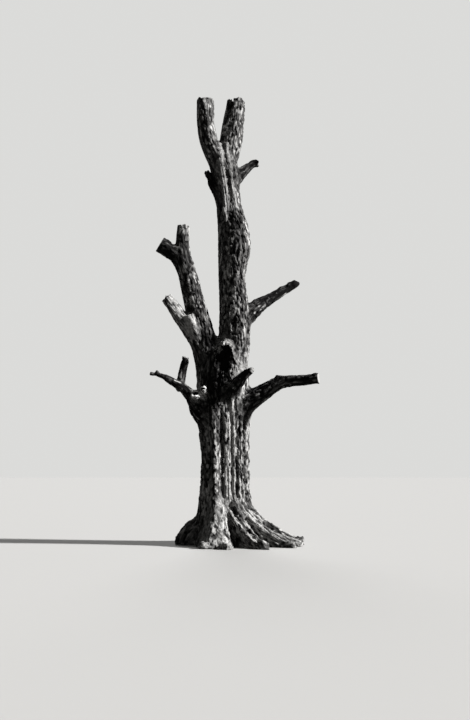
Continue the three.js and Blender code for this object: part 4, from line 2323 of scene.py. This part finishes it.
class Dresser:
    """Makes the skin's pieces into objects and dresses them."""

    def __init__(self, skin: Skin) -> None:
        """Makes the materials."""
        self.skin = skin
        self.materials = {slot: TreeFinish(slot).material() for slot in Slot}

    def mesh(self, piece: Piece) -> bpy.types.Mesh:
        """Makes a piece's mesh.

        Args:
            piece: the piece.

        Returns:
            The closed mesh, smooth, with the whole skin's normals.
        """
        mesh = bpy.data.meshes.new(piece.section.name)
        corners = np.concatenate([piece.quads.ravel(), piece.caps.ravel()])
        quad_starts = np.arange(len(piece.quads)) * 4
        cap_starts = len(piece.quads) * 4 + np.arange(len(piece.caps)) * 3
        starts = np.concatenate([quad_starts, cap_starts])
        mesh.vertices.add(len(piece.points))
        mesh.vertices.foreach_set("co", piece.points.astype(np.float32).ravel())
        mesh.loops.add(len(corners))
        mesh.loops.foreach_set("vertex_index", corners.astype(np.int32))
        mesh.polygons.add(len(starts))
        mesh.polygons.foreach_set("loop_start", starts.astype(np.int32))
        mesh.polygons.foreach_set("use_smooth", np.ones(len(starts), bool))
        mesh.update(calc_edges=True)
        self.note(mesh, piece)
        mesh.normals_split_custom_set_from_vertices(piece.normals.tolist())
        return mesh

    def note(self, mesh: bpy.types.Mesh, piece: Piece) -> None:
        """Writes the skin's measures onto a mesh, for the material.

        Args:
            mesh: the mesh.
            piece: its piece.
        """
        extra = len(piece.points) - len(piece.source)
        grain = np.vstack([self.skin.grain[piece.source], np.zeros((extra, 3))])
        made = mesh.attributes.new("grain", "FLOAT_VECTOR", "POINT")
        made.data.foreach_set("vector", grain.astype(np.float32).ravel())
        looks = self.skin.looks
        for name, values in (("bare", looks.bare), ("groove", looks.groove), ("cut", looks.cut)):
            values = np.concatenate([values[piece.source], np.zeros(extra)])
            mesh.attributes.new(name, "FLOAT", "POINT").data.foreach_set("value", values.astype(np.float32))

    def dress(self, piece: Piece) -> bpy.types.Object:
        """Places a piece in the scene.

        Args:
            piece: the piece.

        Returns:
            Its object.
        """
        mesh = self.mesh(piece)
        mesh.materials.append(self.materials[piece.section.slot])
        made = bpy.data.objects.new(piece.section.name, mesh)
        bpy.context.scene.collection.objects.link(made)
        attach(made, "root")
        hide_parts(piece.section.node)
        LOG.info("%s: %d triangles", piece.section.name, 2 * len(piece.quads) + len(piece.caps))
        return made


@dataclass
class Studio:
    """The camera, floor, world and lights. Lengths are in metres and angles in degrees."""

    eye: tuple[float, float, float] = (0.194, -18.4, 1.54)
    pitch: float = 6.35
    lens: float = 46.75
    sensor: float = 36.0
    sight: float = 400.0
    key_bearing: float = -10.0
    key_height: float = 28.0
    key_strength: float = 9.5
    key_softness: float = 4.0
    back_bearing: float = 96.0
    back_height: float = 34.0
    back_strength: float = 1.2
    back_softness: float = 25.0
    fill: float = 0.085
    backdrop: float = 0.8
    backdrop_shade: str = "#f2f2f0"
    light_reach: float = 20.0
    floor_half: float = 90.0
    floor_shade: str = "#a9a8a6"
    floor_bounce: str = "#4c4b49"
    floor_roughness: float = 0.9

    def camera(self) -> None:
        """Stands the camera where the viewer stood."""
        made = bpy.data.objects.new("camera", bpy.data.cameras.new("camera"))
        made.data.lens = self.lens
        made.data.sensor_width = self.sensor
        made.data.clip_end = self.sight
        made.location = self.eye
        made.rotation_euler = (math.radians(90 + self.pitch), 0.0, 0.0)
        bpy.context.scene.collection.objects.link(made)
        bpy.context.scene.camera = made

    def light(self, name: str, bearing: float, height: float, strength: float, softness: float) -> None:
        """Hangs a far, wide light, which gives the same light from the foot to the top.

        Args:
            name: its name.
            bearing: its bearing from the tree.
            height: its height in degrees.
            strength: its strength.
            softness: how wide it looks from the tree, in degrees.
        """
        data = bpy.data.lights.new(name, "SUN")
        data.energy = strength
        data.angle = math.radians(softness)
        made = bpy.data.objects.new(name, data)
        turn, rise = math.radians(bearing), math.radians(height)
        away = Vector((math.cos(rise) * math.cos(turn), math.cos(rise) * math.sin(turn), math.sin(rise)))
        made.location = away * self.light_reach
        made.rotation_euler = away.to_track_quat("Z", "Y").to_euler()
        bpy.context.scene.collection.objects.link(made)

    def world(self) -> None:
        """Shows a pale backdrop, and gives a weak, even fill."""
        world = bpy.data.worlds.new("studio")
        world.use_nodes = True
        tree = world.node_tree
        shade = tree.nodes["Background"]
        shade.inputs["Color"].default_value = linear(self.backdrop_shade)
        seen = add_node(tree, "ShaderNodeLightPath").outputs["Is Camera Ray"]
        strength = add_node(tree, "ShaderNodeMix", {0: seen, 2: self.fill, 3: self.backdrop})
        tree.links.new(strength.outputs[0], shade.inputs["Strength"])
        bpy.context.scene.world = world

    def floor(self) -> None:
        """Lays a plain pale floor, which looks pale but throws back little light."""
        half = self.floor_half
        corners = [(-half, -half, 0), (half, -half, 0), (half, half, 0), (-half, half, 0)]
        mesh = bpy.data.meshes.new("floor")
        mesh.from_pydata(corners, [], [(0, 1, 2, 3)])
        made = bpy.data.objects.new("floor", mesh)
        material = bpy.data.materials.new("studio_floor")
        material.use_nodes = True
        tree = material.node_tree
        shader = tree.nodes["Principled BSDF"]
        shader.inputs["Roughness"].default_value = self.floor_roughness
        seen = add_node(tree, "ShaderNodeLightPath").outputs["Is Camera Ray"]
        shades = {0: seen, 6: linear(self.floor_bounce), 7: linear(self.floor_shade)}
        shade = add_node(tree, "ShaderNodeMix", shades, data_type="RGBA")
        tree.links.new(shade.outputs[2], shader.inputs["Base Color"])
        mesh.materials.append(material)
        bpy.context.scene.collection.objects.link(made)

    def build(self) -> None:
        """Sets up the studio."""
        bpy.context.scene.view_settings.view_transform = "Standard"
        self.camera()
        self.light("key_light", self.key_bearing, self.key_height, self.key_strength, self.key_softness)
        self.light("back_light", self.back_bearing, self.back_height, self.back_strength, self.back_softness)
        self.world()
        self.floor()


def main() -> None:
    """Builds the studio and the tree, piece by piece."""
    logging.basicConfig(level=logging.INFO, format="%(message)s")
    Studio().build()
    tree = Tree()
    skin = Skin(tree)
    dresser = Dresser(skin)
    for piece in skin.pieces(sections(tree)):
        dresser.dress(piece)
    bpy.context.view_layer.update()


if __name__ == "__main__":
    main()
